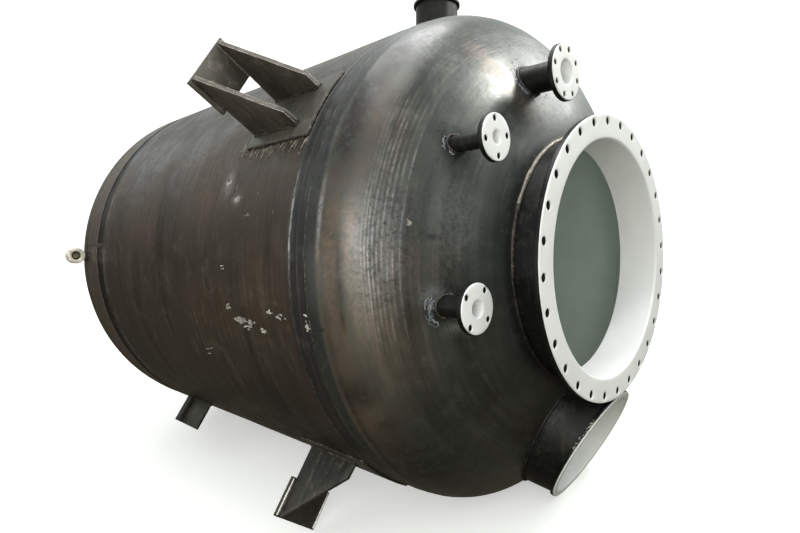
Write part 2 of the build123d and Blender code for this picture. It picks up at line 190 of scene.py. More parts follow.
# painted marks: attribute -> list of (x, clock, half length along x, half length round, strength)
MARKS = {
    "wear": [(-1208, 61.5, 40, 30, 1.05), (-1106, 65.5, 60, 24, 1.05), (-1011, 69.3, 46, 18, .95), (-949, 64.9, 22, 22, .8),
             (-827, 68.8, 34, 22, .7), (-1032, 74, 10, 46, .8), (-1168, 88.8, 34, 16, 1.1), (-1086, 91.3, 52, 24, 1.2),
             (-1011, 91.6, 34, 22, 1.1), (-919, 93.0, 26, 16, 1.0), (-855, 88.7, 30, 12, .8), (-746, 90.6, 22, 10, .8),
             (-623, 90.4, 9, 26, 1.2), (-317, 70.3, 10, 28, .9), (-292, 77.1, 8, 30, .8), (-300, 74, 10, 20, .8),
             (-169, 67.8, 12, 18, .8), (-1000, 54.9, 190, 26, .75), (-760, 57.6, 110, 20, .75), (-1180, 53, 30, 60, .7),
             (-2330, 60, 160, 26, .5), (-1650, 47, 200, 30, .45), (-1500, 100, 70, 14, .6), (-1900, 92, 50, 10, .6),
             (-2200, 80, 70, 10, .5), (-1300, 110, 60, 10, .5), (-700, 100, 10, 60, .7), (-640, 120, 16, 60, .6)],
    # dark list: small dark spots, plus large spots on the lower side and two near the top of the head that are painted
    # shade
    "soot": [(-463, 78.1, 8, 60, .9), (-464, 88.6, 8, 40, .9), (-461, 83.6, 12, 60, .9), (-370, 76.6, 6, 8, 1.2),
             (-383, 78.1, 5, 7, 1.2), (-475, 104.2, 60, 70, .8), (-439, 112, 50, 40, .6), (-276, 72.8, 9, 9, 1.2),
             (-459, 13.2, 60, 90, .6), (-346, 5, 60, 120, .6), (-545, 90.8, 7, 7, 1.3), (-1500, 120, 500, 160, .5),
             (-2500, 110, 200, 260, .5), (-900, 112, 200, 160, .5), (-430, 128, 160, 320, .7), (-300, 120, 120, 220, .5)],
    "warm": [(-452, 80, 70, 130, .7), (-342, 80.3, 70, 110, .6), (-400, 95, 90, 200, .7), (-500, 102.7, 40, 120, .5),
             (-333, 18.4, 50, 60, .8), (-261, 16.5, 60, 60, .7), (-1400, 60, 500, 260, .5), (-2100, 70, 400, 380, .5),
             (-900, 85, 200, 200, .4), (-2678, 60, 160, 400, .6), (-1346, 90, 260, 160, .4)],
    # pale list: rubbed bare spots, a painted sheen along the upper shell, and painted highlights along the girth band's
    # edges and on the head
    "shine": [(-1208, 61.5, 30, 48, .75), (-1106, 65.5, 26, 26, .65), (-2300, 47, 300, 170, .42), (-1700, 49, 170, 150, .36), (-1400, 40, 120, 110, .3), (-701, 69.5, 6, 120, 1.2), (-698, 76, 4, 60, .8), (-539, 70.5, 5, 90, 1.6), (-550, 54, 7, 90, .3),
              (-581, 23.2, 60, 90, .5), (-446, 25, 60, 120, .5), (-275, 87, 20, 30, .8), (-240, 96, 24, 30, .8),
              (-2640, 76, 5, 300, .3), (-2900, 76, 60, 200, .10)],
}


def paint(x, c, rho, extra=None):
    out = {}
    P = np.stack([x, -rho * np.sin(np.radians(c)), rho * np.cos(np.radians(c))], -1)
    w = wave(P, 90, 3) * 0.22
    for k, spots in MARKS.items():
        v = np.zeros(x.shape)
        for (sx, sc, hx, hs, st) in spots:
            d = ((x - sx) / hx) ** 2 + (np.radians(cdist(c, sc)) * rho / hs) ** 2
            v = np.maximum(v, st * np.exp(-0.8 * d * (1 + w)))
        out[k] = v
    for k, v in (extra or {}).items():
        out[k] = np.clip(out.get(k, 0) + v, 0, 1.5)
    return out


def flat_bottom(c):
    """0 where the shell rests on the floor, 1 elsewhere"""
    return sstep(np.abs(cdist(c, 180)), 14, 30)


def skin(name, xs, rs, nx, nr, relief, holes, mat, extra=None, replaces=()):
    """one turned plate surface with its relief, and round holes cut cleanly"""
    x = np.repeat(np.asarray(xs, float)[:, None], NC, 1)
    r = np.repeat(np.asarray(rs, float)[:, None], NC, 1)
    c = np.repeat(CL[None, :], len(xs), 0)
    px = np.repeat(np.asarray(nx, float)[:, None], NC, 1)
    pr = np.repeat(np.asarray(nr, float)[:, None], NC, 1)
    P0 = np.stack([x, -r * np.sin(np.radians(c)), r * np.cos(np.radians(c))], -1)
    dep = relief(x, c, r, P0)
    xx, rr = x - px * dep, r - pr * dep
    P = np.stack([xx, -rr * np.sin(np.radians(c)), rr * np.cos(np.radians(c))], -1).reshape(-1, 3)
    F = grid_faces(len(xs), NC)[:, ::-1]
    for dist, proj in holes:
        d = dist(P)
        inside = d[F].mean(1) < 0
        gone, kept = F[inside], F[~inside]
        edge = np.intersect1d(np.unique(gone), np.unique(kept))
        P[edge] = proj(P[edge])
        F = kept
    used = np.unique(F)
    remap = -np.ones(len(P), int)
    remap[used] = np.arange(len(used))
    att = paint(x, c, r, extra(x, c, r, P0) if extra else None)
    att = {k: v.reshape(-1)[used] for k, v in att.items()}
    ob = new_mesh(name, P[used], remap[F], mat, smooth=50, attrs=att)
    if replaces:
        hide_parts(*replaces)
    return ob


def hole_x(cy, cz, r, surf):
    def dist(P):
        return np.hypot(P[:, 1] - cy, P[:, 2] - cz) - r

    def proj(P):
        d = np.hypot(P[:, 1] - cy, P[:, 2] - cz)
        y = cy + (P[:, 1] - cy) * r / d
        z = cz + (P[:, 2] - cz) * r / d
        return np.stack([surf(np.hypot(y, z)), y, z], -1)
    return dist, proj


def hole_any(origin, axis, r, fix):
    def dist(P):
        v = P - origin
        t = v @ axis
        d = np.linalg.norm(v - t[:, None] * axis, axis=1) - r
        return np.where(t < -700, 1e3, d)

    def proj(P):
        v = P - origin
        t = v @ axis
        q = v - t[:, None] * axis
        n = np.linalg.norm(q, axis=1)[:, None]
        return fix(origin + t[:, None] * axis + q / n * r)
    return dist, proj


def tube(name, c0, ax, e1, e2, prof, seg, mat, attrs=None):
    """a turned tube: prof rows are (radius, distance along ax) where the distance may be a function of
    the point's direction, so that an end follows the surface it meets"""
    t = np.linspace(0, 2 * math.pi, seg, endpoint=False)
    rows = []
    for r, h in prof:
        d = np.cos(t)[:, None] * e1 + np.sin(t)[:, None] * e2
        base = c0 + r * d
        hh = h(base, d) if callable(h) else np.full(seg, float(h))
        rows.append(base + hh[:, None] * ax)
    P = np.stack(rows)
    n = len(prof)
    F = grid_faces(n, seg)
    last = np.stack([(n - 1) * seg + np.arange(seg), (n - 1) * seg + (np.arange(seg) + 1) % seg,
                     (np.arange(seg) + 1) % seg, np.arange(seg)], -1)
    F = np.concatenate([F, last])
    ob = new_mesh(name, P.reshape(-1, 3), F, mat, smooth=40)
    weld(ob)
    return ob


def holed_ring(cy, cz, xf, xb, pcd, n, first, rh, outer, inner, b, m1, m2, wob=0.0):
    """a flange ring with bolt holes.  outer and inner are edge profiles (radius, x) from the front face
    to the back face; every sector is a patch fitted round its hole"""
    al = math.pi / n
    parts = []
    ro_f, ri_f, ro_b, ri_b = outer[0][0], inner[0][0], outer[-1][0], inner[-1][0]

    def place(rho, phi, x):
        # phi is a clock angle in radians
        y, z = cy - rho * np.sin(phi), cz + rho * np.cos(phi)
        return np.stack([np.broadcast_to(x, np.shape(y)) if not callable(x) else x(y, z), y, z], -1)

    for i in range(n):
        th = math.radians(first) + 2 * math.pi * i / n

        def boundary(ri, ro):
            ph = np.concatenate([np.linspace(-al, al, m1, endpoint=False), np.full(m2, al),
                                 np.linspace(al, -al, m1, endpoint=False), np.full(m2, -al)])
            rh_ = np.concatenate([np.full(m1, ro), np.linspace(ro, ri, m2, endpoint=False),
                                  np.full(m1, ri), np.linspace(ri, ro, m2, endpoint=False)])
            return rh_, th + ph
        hy, hz = cy - pcd / 2 * math.sin(th), cz + pcd / 2 * math.cos(th)
        for face, (ri, ro, x) in enumerate(((ri_f, ro_f, xf), (ri_b, ro_b, xb))):
            br, bp = boundary(ri, ro)
            B = place(br, bp, x)
            dy, dz = B[:, 1] - hy, B[:, 2] - hz
            dn = np.hypot(dy, dz)
            uy, uz = dy / dn, dz / dn
            k = len(br)
            rows = []
            for rad in (rh + b, rh + b + 1.2 * b + 2):
                rows.append(np.stack([np.full(k, float(x)), hy + uy * rad, hz + uz * rad], -1))
            rows.append(np.stack([np.full(k, float(x)), hy + uy * (rh + dn) / 2, hz + uz * (rh + dn) / 2], -1))
            rows.append(B)
            V = np.stack(rows).reshape(-1, 3)
            parts.append((V, grid_faces(4, k)))
            if face == 0:
                w = []
                for rad, xx in ((rh + b, xf), (rh + .35 * b, xf - .3 * b), (rh, xf - b), (rh, xb + b * .6), (rh + b, xb)):
                    w.append(np.stack([np.full(k, float(xx)), hy + uy * rad, hz + uz * rad], -1))
                w = np.stack(w)
                # the back ring of the wall has the back face's own directions
                br2, bp2 = boundary(ri_b, ro_b)
                B2 = place(br2, bp2, xb)
                d2y, d2z = B2[:, 1] - hy, B2[:, 2] - hz
                d2 = np.hypot(d2y, d2z)
                w[-1] = np.stack([np.full(k, float(xb)), hy + d2y / d2 * (rh + b), hz + d2z / d2 * (rh + b)], -1)
                parts.append((w.reshape(-1, 3), grid_faces(len(w), k)))
        ph = th + np.linspace(-al, al, m1 + 1)
        for profile in (outer, inner):
            rows = [place(np.full(m1 + 1, float(r)), ph, x) for r, x in profile]
            V = np.stack(rows).reshape(-1, 3)
            parts.append((V, grid_faces(len(rows), m1 + 1, closed=False)))
    return join_parts(parts)


def bead(P, N, rad, pitch=6.0, flat=1.0, closed=True, seed=0, k=9, amp=.16):
    """a rippled weld bead along points P with outward directions N"""
    P, N = np.asarray(P, float), np.asarray(N, float)
    n = len(P)
    T = (np.roll(P, -1, 0) - np.roll(P, 1, 0)) if closed else np.gradient(P, axis=0)
    T /= np.linalg.norm(T, axis=1)[:, None] + 1e-9
    Bn = np.cross(T, N)
    Bn /= np.linalg.norm(Bn, axis=1)[:, None] + 1e-9
    seg = np.linalg.norm(np.diff(P, axis=0, append=P[:1] if closed else P[-1:]), axis=1)
    s = np.concatenate([[0], np.cumsum(seg)[:-1]])
    g = np.random.default_rng(seed + 5)
    jitter = np.interp(s, np.arange(0, s[-1] + 80, 40), g.normal(0, 1, len(np.arange(0, s[-1] + 80, 40))))
    a = np.linspace(0, 2 * math.pi, k, endpoint=False)
    V = np.zeros((n, k, 3))
    for j, aj in enumerate(a):
        ph = ((s + jitter * 1.5 + pitch * .8 * np.cos(aj)) / pitch) % 1
        rip = 1 + amp * (1 - ph) ** 1.5 - amp * .4 + .07 * jitter
        V[:, j] = P + (N * (math.cos(aj) * flat) + Bn * math.sin(aj)) * (rad * rip)[:, None] + Bn * (jitter * .35)[:, None]
    F = grid_faces(n, k) if closed is False else None
    i = np.arange(n if closed else n - 1)[:, None]
    j = np.arange(k)[None, :]
    i2, j2 = (i + 1) % n, (j + 1) % k
    F = np.stack([i * k + j, i * k + j2, i2 * k + j2, i2 * k + j], -1).reshape(-1, 4)
    parts_f = [tuple(q) for q in F]
    if not closed:
        parts_f += [tuple(range(k))[::-1], tuple(range((n - 1) * k, n * k))]
    return V.reshape(-1, 3), parts_f


def plate(outline, thick, org, u, v, w, b=1.6, step=9.0, rough=.5, seed=0):
    """a burnt-out flat plate: outline is (u, v) points, thickness along w, centred on org.
    Its edge is divided and slightly uneven, with a small chamfer"""
    g = np.random.default_rng(seed + 11)
    pts = []
    n = len(outline)
    for i in range(n):
        a, c = np.array(outline[i], float), np.array(outline[(i + 1) % n], float)
        m = max(1, int(np.linalg.norm(c - a) / step))
        for k in range(m):
            pts.append(a + (c - a) * k / m)
    pts = np.array(pts)
    d = np.roll(pts, -1, 0) - np.roll(pts, 1, 0)
    d /= np.linalg.norm(d, axis=1)[:, None]
    nrm = np.stack([d[:, 1], -d[:, 0]], -1)
    area = .5 * np.sum(pts[:, 0] * np.roll(pts[:, 1], -1) - np.roll(pts[:, 0], -1) * pts[:, 1])
    if area < 0:
        nrm = -nrm
    k = len(pts)
    nz = g.normal(0, 1, k)
    nz = (nz + np.roll(nz, 1) + np.roll(nz, -1)) / 3
    rows = []
    for ins, h in ((b, thick / 2), (b * .3, thick / 2 - b * .35), (0, thick / 2 - b), (0, 0), (0, -thick / 2 + b),
                   (b * .3, -thick / 2 + b * .35), (b, -thick / 2)):
        q = pts - nrm * (ins + np.abs(nz) * rough * (1 if ins == 0 else .7))[:, None]
        rows.append(org + q[:, 0:1] * u + q[:, 1:2] * v + h * w)
    V = np.concatenate(rows)
    F = [tuple(f) for f in grid_faces(len(rows), k)]
    F.append(tuple(range(k))[::-1])
    F.append(tuple(range((len(rows) - 1) * k, len(rows) * k)))
    return V, F


def blobs(pts, nrm, size, seed=0):
    """spatter: small uneven drops that sit on a surface"""
    g = np.random.default_rng(seed)
    parts = []
    for p, n in zip(pts, nrm):
        n = n / np.linalg.norm(n)
        a = np.cross(n, [0.3, .5, .8])
        a /= np.linalg.norm(a)
        b = np.cross(n, a)
        r = size * g.uniform(.4, 1.3)
        V = [p - n * r * .3]
        for h, rr in ((0, 1.0), (.45, .8)):
            for k in range(7):
                t = k / 7 * 6.283 + h
                V.append(p + n * r * h + (a * math.cos(t) + b * math.sin(t)) * r * rr * g.uniform(.75, 1.2))
        V.append(p + n * r * .75)
        F = []
        for k in range(7):
            k2 = (k + 1) % 7
            F += [(0, 1 + k2, 1 + k), (1 + k, 1 + k2, 8 + k2, 8 + k), (8 + k, 8 + k2, 15)]
        parts.append((np.array(V), F))
    return join_parts(parts)


def on_shell(x, c, up=0.0):
    x, c = np.asarray(x, float), np.asarray(c, float)
    q = radial(c)
    P = q * (R + up)
    P[..., 0] = x
    return P, q


def on_head(y, z, up=0.0):
    rho = np.hypot(y, z)
    nx, nr = head_n(rho)
    N = np.stack([nx, nr * y / rho, nr * z / rho], -1)
    P = np.stack([head_x(rho), y, z], -1)
    return P + N * up, N


# ------------------------------------------------------------------ materials
def lin(h):
    return tuple(((c / 255) / 12.92 if c / 255 <= .04045 else ((c / 255 + .055) / 1.055) ** 2.4) for c in h) + (1.0,)


class Mat:
    def __init__(self, name, metallic=0.0, ior=1.5, spec=.5):
        self.m = bpy.data.materials.new(name)
        self.m.use_nodes = True
        self.t = self.m.node_tree
        self.t.nodes.clear()
        self.out = self.t.nodes.new("ShaderNodeOutputMaterial")
        self.b = self.t.nodes.new("ShaderNodeBsdfPrincipled")
        self.t.links.new(self.b.outputs[0], self.out.inputs[0])
        self.b.inputs["Metallic"].default_value = metallic
        self.b.inputs["IOR"].default_value = ior
        self.b.inputs["Specular IOR Level"].default_value = spec
        self.co = self.t.nodes.new("ShaderNodeTexCoord").outputs["Object"]

    def _in(self, sock, v):
        if hasattr(v, "node"):
            self.t.links.new(v, sock)
        else:
            sock.default_value = v

    def math(self, op, a, b=0.0, clamp=False):
        n = self.t.nodes.new("ShaderNodeMath")
        n.operation = op
        n.use_clamp = clamp
        self._in(n.inputs[0], a)
        self._in(n.inputs[1], b)
        return n.outputs[0]

    def vec(self, s):
        n = self.t.nodes.new("ShaderNodeMapping")
        n.inputs["Scale"].default_value = s
        self.t.links.new(self.co, n.inputs[0])
        return n.outputs[0]

    def polar(self, sx, sr, st):
        """coordinates that stretch round the axis: x and radius scaled apart from the rest"""
        sep = self.t.nodes.new("ShaderNodeSeparateXYZ")
        self.t.links.new(self.co, sep.inputs[0])
        rho = self.math("SQRT", self.math("ADD", self.math("MULTIPLY", sep.outputs[1], sep.outputs[1]),
                                          self.math("MULTIPLY", sep.outputs[2], sep.outputs[2])))
        com = self.t.nodes.new("ShaderNodeCombineXYZ")
        self.t.links.new(self.math("ADD", self.math("MULTIPLY", sep.outputs[0], sx), self.math("MULTIPLY", rho, sr)), com.inputs[0])
        self.t.links.new(self.math("MULTIPLY", sep.outputs[1], st), com.inputs[1])
        self.t.links.new(self.math("MULTIPLY", sep.outputs[2], st), com.inputs[2])
        return com.outputs[0]

    def noise(self, vec, scale, detail=4.0, rough=.55, dist=0.0):
        n = self.t.nodes.new("ShaderNodeTexNoise")
        self.t.links.new(vec, n.inputs["Vector"])
        n.inputs["Scale"].default_value = scale
        n.inputs["Detail"].default_value = detail
        n.inputs["Roughness"].default_value = rough
        n.inputs["Distortion"].default_value = dist
        return n.outputs["Fac"]

    def voronoi(self, vec, scale, feature="F1"):
        n = self.t.nodes.new("ShaderNodeTexVoronoi")
        n.feature = feature
        self.t.links.new(vec, n.inputs["Vector"])
        n.inputs["Scale"].default_value = scale
        return n.outputs["Distance"]

    def step(self, v, a, b, lo=0.0, hi=1.0):
        n = self.t.nodes.new("ShaderNodeMapRange")
        n.interpolation_type = "SMOOTHSTEP"
        self._in(n.inputs["Value"], v)
        for k, q in (("From Min", a), ("From Max", b), ("To Min", lo), ("To Max", hi)):
            n.inputs[k].default_value = q
        return n.outputs["Result"]

    def attr(self, name):
        n = self.t.nodes.new("ShaderNodeAttribute")
        n.attribute_name = name
        return n.outputs["Fac"]

    def mix(self, f, a, b):
        n = self.t.nodes.new("ShaderNodeMix")
        n.data_type = "RGBA"
        self._in(n.inputs[0], f)
        self._in(n.inputs[6], a)
        self._in(n.inputs[7], b)
        return n.outputs[2]

    def bump(self, h, dist, strength=1.0, prev=None):
        n = self.t.nodes.new("ShaderNodeBump")
        n.inputs["Strength"].default_value = strength
        n.inputs["Distance"].default_value = dist
        self.t.links.new(h, n.inputs["Height"])
        if prev is not None:
            self.t.links.new(prev, n.inputs["Normal"])
        return n.outputs[0]

    def set(self, color=None, rough=None, normal=None):
        if color is not None:
            self._in(self.b.inputs["Base Color"], color)
        if rough is not None:
            self._in(self.b.inputs["Roughness"], rough)
        if normal is not None:
            self.t.links.new(normal, self.b.inputs["Normal"])
        return self.m


def steel(name, dark, mid, light, head=False, marks=True, metallic=.45, rough=(.34, .54), streak=1.0, scale=1.0, calm=0.0):
    """hot rolled plate with mill scale: patches, streaks round the axis, small pits, scuffs"""
    m = Mat(name, metallic=metallic, spec=.42)
    band = m.polar(9 if not head else 5, 0 if not head else 12, .9)
    fine = m.polar(60 if not head else 30, 0 if not head else 70, 2.2)
    broad = m.noise(m.co, 1.5 * scale, 5, .6, .4)
    patch = m.noise(m.co, 6.5 * scale, 6, .62, .8)
    grain = m.noise(m.co, 130, 4, .7)
    bands = m.noise(band, 1.0, 4, .55, .3)
    lines = m.noise(fine, 1.0, 5, .6)
    cloud = m.math("ADD", m.math("MULTIPLY", broad, .45), m.math("MULTIPLY", bands, .55 * streak))
    col = m.mix(m.step(cloud, .36, .60), dark, mid)
    col = m.mix(m.math("MULTIPLY", m.step(m.math("ADD", m.math("MULTIPLY", patch, .6), m.math("MULTIPLY", lines, .4)), .50, .66), .62 * (1 - calm)), col, light)
    col = m.mix(m.math("MULTIPLY", m.step(grain, .56, .70), .35 * (1 - calm)), col, light)
    col = m.mix(m.math("MULTIPLY", m.step(m.noise(m.co, 34, 6, .7, 1.2), .60, .68), .45 * (1 - calm)), col, dark)
    rg = m.math("ADD", m.step(patch, .3, .7, rough[0], rough[1]), m.math("MULTIPLY", m.math("SUBTRACT", grain, .5), .22))
    if marks:
        n1 = m.noise(m.co, 24, 6, .72, 1.5)
        n2 = m.noise(m.co, 75, 5, .75, .6)
        warm = m.math("MULTIPLY", m.attr("warm"), m.step(m.math("ADD", m.math("MULTIPLY", n1, .5), m.math("MULTIPLY", lines, .5)), .32, .66), clamp=True)
        col = m.mix(m.math("MULTIPLY", warm, .75), col, lin((112, 92, 76)))
        # this darkening attribute holds dark spots and also painted shade, towards the bottom and on the head's upper
        # knuckle
        soot = m.math("MULTIPLY", m.attr("soot"), m.step(n1, .28 - .5 * calm, .62), clamp=True)
        col = m.mix(m.math("MULTIPLY", soot, .85), col, lin((20, 19, 19)))
        # this pale attribute holds rubbed bare metal and also painted highlights and sheen
        shine = m.math("MULTIPLY", m.attr("shine"), m.step(m.math("ADD", m.math("MULTIPLY", n2, .6), m.math("MULTIPLY", n1, .4)), .34, .60), clamp=True)
        col = m.mix(m.math("MULTIPLY", shine, .8), col, lin((160, 160, 162)))
        wear = m.step(m.math("ADD", m.math("MULTIPLY", m.attr("wear"), .38), m.math("ADD", m.math("MULTIPLY", n1, .5), m.math("MULTIPLY", n2, .5))), .80, .90)
        col = m.mix(wear, col, lin((176, 170, 162)))
        rg = m.math("SUBTRACT", rg, m.math("MULTIPLY", shine, .1))
    nb = m.bump(m.noise(m.co, 4.5, 3, .5), .004, .35)
    nb = m.bump(lines, .0010, .30, nb)
    nb = m.bump(m.noise(m.co, 46, 5, .65), .0012, .35, nb)
    nb = m.bump(grain, .0004, .5, nb)
    return m.set(col, rg, nb)


def lining_mat(name, tint, dirt=.35):
    m = Mat(name, 0.0, 1.5, .45)
    n1 = m.noise(m.co, 5, 5, .6, .5)
    n2 = m.noise(m.co, 40, 6, .72, 1.0)
    n3 = m.noise(m.co, 160, 3, .6)
    col = m.mix(m.step(n1, .35, .7), tint, tuple(q * .93 for q in tint[:3]) + (1,))
    col = m.mix(m.math("MULTIPLY", m.step(n2, .62, .74), dirt), col, lin((168, 166, 160)))
    col = m.mix(m.math("MULTIPLY", m.step(m.noise(m.co, 90, 5, .8, 2.0), .70, .76), dirt), col, lin((120, 112, 102)))
    nb = m.bump(n1, .004, .2)
    nb = m.bump(n2, .0007, .35, nb)
    nb = m.bump(n3, .0002, .4, nb)
    return m.set(col, m.step(n2, .3, .7, .34, .5), nb)


def bead_mat(name, dark, light, amount=.5, metallic=.45):
    m = Mat(name, metallic, 1.5, .5)
    n1 = m.noise(m.co, 22, 5, .65, .8)
    n2 = m.noise(m.co, 120, 4, .7)
    col = m.mix(m.step(n1, .40, .62), dark, tuple(q * 1.7 for q in dark[:3]) + (1,))
    col = m.mix(m.math("MULTIPLY", m.step(m.math("ADD", m.math("MULTIPLY", n2, .6), m.math("MULTIPLY", n1, .4)), .50, .62), amount), col, light)
    nb = m.bump(n2, .0008, .6)
    return m.set(col, m.step(n2, .3, .7, .34, .6), nb)


M_SHELL = steel("shell_plate", lin((33, 30, 26)), lin((60, 53, 46)), lin((92, 83, 73)), streak=1.25)
M_GROOVE = steel("groove_floor", lin((9, 9, 8)), lin((16, 16, 14)), lin((32, 30, 27)), marks=False)
M_HEAD = steel("head_plate", lin((48, 51, 48)), lin((79, 83, 79)), lin((110, 112, 104)), head=True, calm=.45, rough=(.30, .44))
M_BAND = steel("girth_band", lin((24, 25, 26)), lin((48, 47, 46)), lin((92, 92, 92)), rough=(.30, .5), streak=1.4)
M_NOZ = steel("nozzle_plate", lin((15, 15, 14)), lin((27, 27, 25)), lin((54, 52, 46)), marks=False, rough=(.34, .55), scale=4)
M_BRK = steel("bracket_plate", lin((42, 41, 38)), lin((68, 66, 60)), lin((104, 100, 91)), marks=False, rough=(.34, .56), scale=3)
# a lighter copy of the bracket steel for the two-rib brackets, which face the light: painted light
M_BRK_PAINTED_LIT = steel("upper_bracket_plate", lin((62, 60, 56)), lin((98, 94, 87)), lin((140, 134, 124)), marks=False, rough=(.34, .56), scale=3)
M_EDGE = bead_mat("burnt_edge", lin((40, 34, 29)), lin((128, 118, 104)), .55)
M_BEAD = bead_mat("weld_bead", lin((46, 42, 38)), lin((150, 142, 130)), .5)
# pale weld bead, also used for painted glints along the rib edges and for the painted highlight on top of the main neck
# weld
M_PALE = bead_mat("scraped_bead", lin((112, 106, 98)), lin((196, 190, 180)), .7)
M_EYE = bead_mat("eye_metal", lin((196, 193, 180)), lin((240, 238, 230)), .6, .1)
M_LIN = lining_mat("white_lining", lin((240, 241, 241)))
M_LININ = lining_mat("inner_lining", lin((204, 214, 206)), .12)
M_RUN = bead_mat("pale_run", lin((128, 124, 108)), lin((190, 186, 170)), .6)
M_DARKB = bead_mat("dark_bead", lin((27, 25, 23)), lin((92, 88, 80)), .3)
M_DISC = bead_mat("rusty_recess", lin((104, 98, 78)), lin((160, 154, 130)), .5, .1)
M_CHIP = bead_mat("white_fleck", lin((138, 137, 131)), lin((198, 197, 191)), .7, 0.0)
# near-white material for painted edge highlights
M_PAINTED_EDGE_HIGHLIGHT = bead_mat("ground_edge", lin((232, 232, 226)), lin((248, 248, 244)), .6, 0.0)
M_LACE = bead_mat("torn_scale", lin((112, 118, 126)), lin((170, 176, 184)), .6, .2)
M_PAD = steel("pad_plate", lin((44, 43, 36)), lin((76, 75, 64)), lin((112, 110, 96)))

for k, o in NODES.items():
    if k in ("shell_lining", "front_head_lining", "rear_head_lining"):
        o.data.materials.clear()
        o.data.materials.append(M_LININ)

# ------------------------------------------------------------------ shell plates
WAVE = 1.0


def shell_relief(x, c, r, P):
    d = .9 + .55 * wave(P, 620, 1) + .35 * wave(P * np.array([1, .35, .35]), 150, 2)
    return np.maximum(d, 0) * flat_bottom(c) * WAVE


top_hole = hole_any(np.array([TOP_X, 0.0, 0.0]), T_DIR, TOP_R - 2,
                    lambda P: np.stack([P[:, 0], P[:, 1] * R / np.hypot(P[:, 1], P[:, 2]), P[:, 2] * R / np.hypot(P[:, 1], P[:, 2])], -1))


def only_up(h):
    d, p = h
    return (lambda P: np.where(P @ T_DIR > 0, d(P), 1e3)), p


def course_rows(x0, x1, xs_mid):
    """rows from x0 to x1 with the plate's edges turned in"""
    xs = [x0, x0, x0 + 2] + list(xs_mid) + [x1 - 2, x1, x1]
    rs = [R - PLATE, R - 1.5, R] + [R] * len(xs_mid) + [R, R - 1.5, R - PLATE]
    return np.array(xs, float), np.array(rs, float)


xm = np.concatenate([np.linspace(-2675, -1260, 66, endpoint=False), np.linspace(-1260, -712, 66)])
xs, rs = course_rows(-2680, -706, xm)
# this plate is painted darker towards the bottom (painted shade); a dark stripe and a pale line lie next to the rear
# girth groove
skin("shell_course_plate", xs, rs, np.zeros_like(xs), np.ones_like(xs), shell_relief, [only_up(top_hole)],
     M_SHELL, replaces=("shell_course",),
     extra=lambda x, c, r, P: {"soot": .55 * sstep(np.abs(cdist(c, 180)), 80, 40) + 1.1 * bump(x, -2670, 11) * sstep(c, 48, 62),
                               "shine": .55 * bump(x, -2654, 6) * sstep(wave(P, 240, 4), -.6, .5)})

# rear girth ring: a low groove
xs = np.array([-2775, -2775, -2772] + list(np.linspace(-2768, -2687, 14)) + [-2683, -2680, -2680], float)
rs = np.array([1100, 1107.6, 1108] + [1108] * 14 + [1108, 1107.6, 1100], float)
skin("rear_girth_plate", xs, rs, np.zeros_like(xs), np.ones_like(xs),
     lambda x, c, r, P: (.5 + .4 * wave(P, 200, 5)) * (r > 1105), [], M_GROOVE, replaces=("rear_girth_ring",),
     extra=lambda x, c, r, P: {"soot": 1.4 * np.ones_like(x)})

xs, rs = course_rows(-2975, -2775, np.linspace(-2968, -2782, 16))
skin("rear_course_plate", xs, rs, np.zeros_like(xs), np.ones_like(xs), shell_relief, [], M_SHELL,
     replaces=("rear_course",), extra=lambda x, c, r, P: {"shine": .06 + .35 * bump(x, -2781, 4), "warm": .65 + 0 * x})


# front girth ring: dark band with raised torn edges and a line where two plates meet
def band_relief(x, c, r, P):
    d = 2.2 + .3 * wave(P, 160, 6)
    d = d - 1.9 * bump(x + 3 * wave(P, 120, 7), -701, 4.5) - 1.5 * bump(x, -609, 3.2) - .9 * bump(x, -655 + 2 * wave(P, 300, 8), 3)
    return np.maximum(d, 0) * flat_bottom(c) * (r > 1105)


# the band is painted darker on its lower part (painted shade), and its edge next to the shell carries a painted
# highlight over a short arc
xs, rs = course_rows(-706, -606, np.linspace(-703, -608.5, 40))
skin("front_girth_plate", xs, rs, np.zeros_like(xs), np.ones_like(xs), band_relief, [], M_BAND,
     replaces=("front_girth_ring",),
     extra=lambda x, c, r, P: {"soot": .10 + .25 * bump(x, -680, 20) + .75 * sstep(c, 92, 122) * sstep(c, 250, 200) * (1 - .8 * bump(x, -609, 7)),
                               "warm": -.6 + 1.5 * bump(x, -609, 6) * sstep(c, 92, 118) * sstep(c, 250, 200),
                               "shine": .18 * bump(x, -609, 3) + .12 * bump(x, -655, 3) + (1.0 * sstep(c, 60, 65) * sstep(c, 80, 75) + .15) * bump(x + 2 * wave(P, 60, 11), -700, 6) * sstep(wave(P, 70, 9), -.5, .5)})

# front head
fi = np.concatenate([np.linspace(90, 46, 24, endpoint=False), np.linspace(46, math.degrees(A0), 26, endpoint=False)])
fo = np.concatenate([np.linspace(math.degrees(A0), 29, 36, endpoint=False),
                     np.linspace(29, math.degrees(math.asin(507.5 / RS)), 58)])
xs = [-606, -606, -604, -602, -599] + list(XT + RK * np.cos(np.radians(fi))) + list(XT + XS + RS * np.cos(np.radians(fo)))
rs = [1100, 1110.5, 1112, 1112, 1112] + list(CK + RK * np.sin(np.radians(fi))) + list(RS * np.sin(np.radians(fo)))
nx = [0, 0, 0, 0, 0] + list(np.cos(np.radians(fi))) + list(np.cos(np.radians(fo)))
nr = [1, 1, 1, 1, 1] + list(np.sin(np.radians(fi))) + list(np.sin(np.radians(fo)))
xs.append(xs[-1] - 12)
rs.append(507.5)
nx.append(nx[-1])
nr.append(nr[-1])
RIDGES = [(1028.8, .5), (1019.3, .6), (1011.2, .75), (1000.3, .9), (987.9, .8), (974.2, 1.0), (957.7, .85), (941, .95), (919.8, 1.3)]


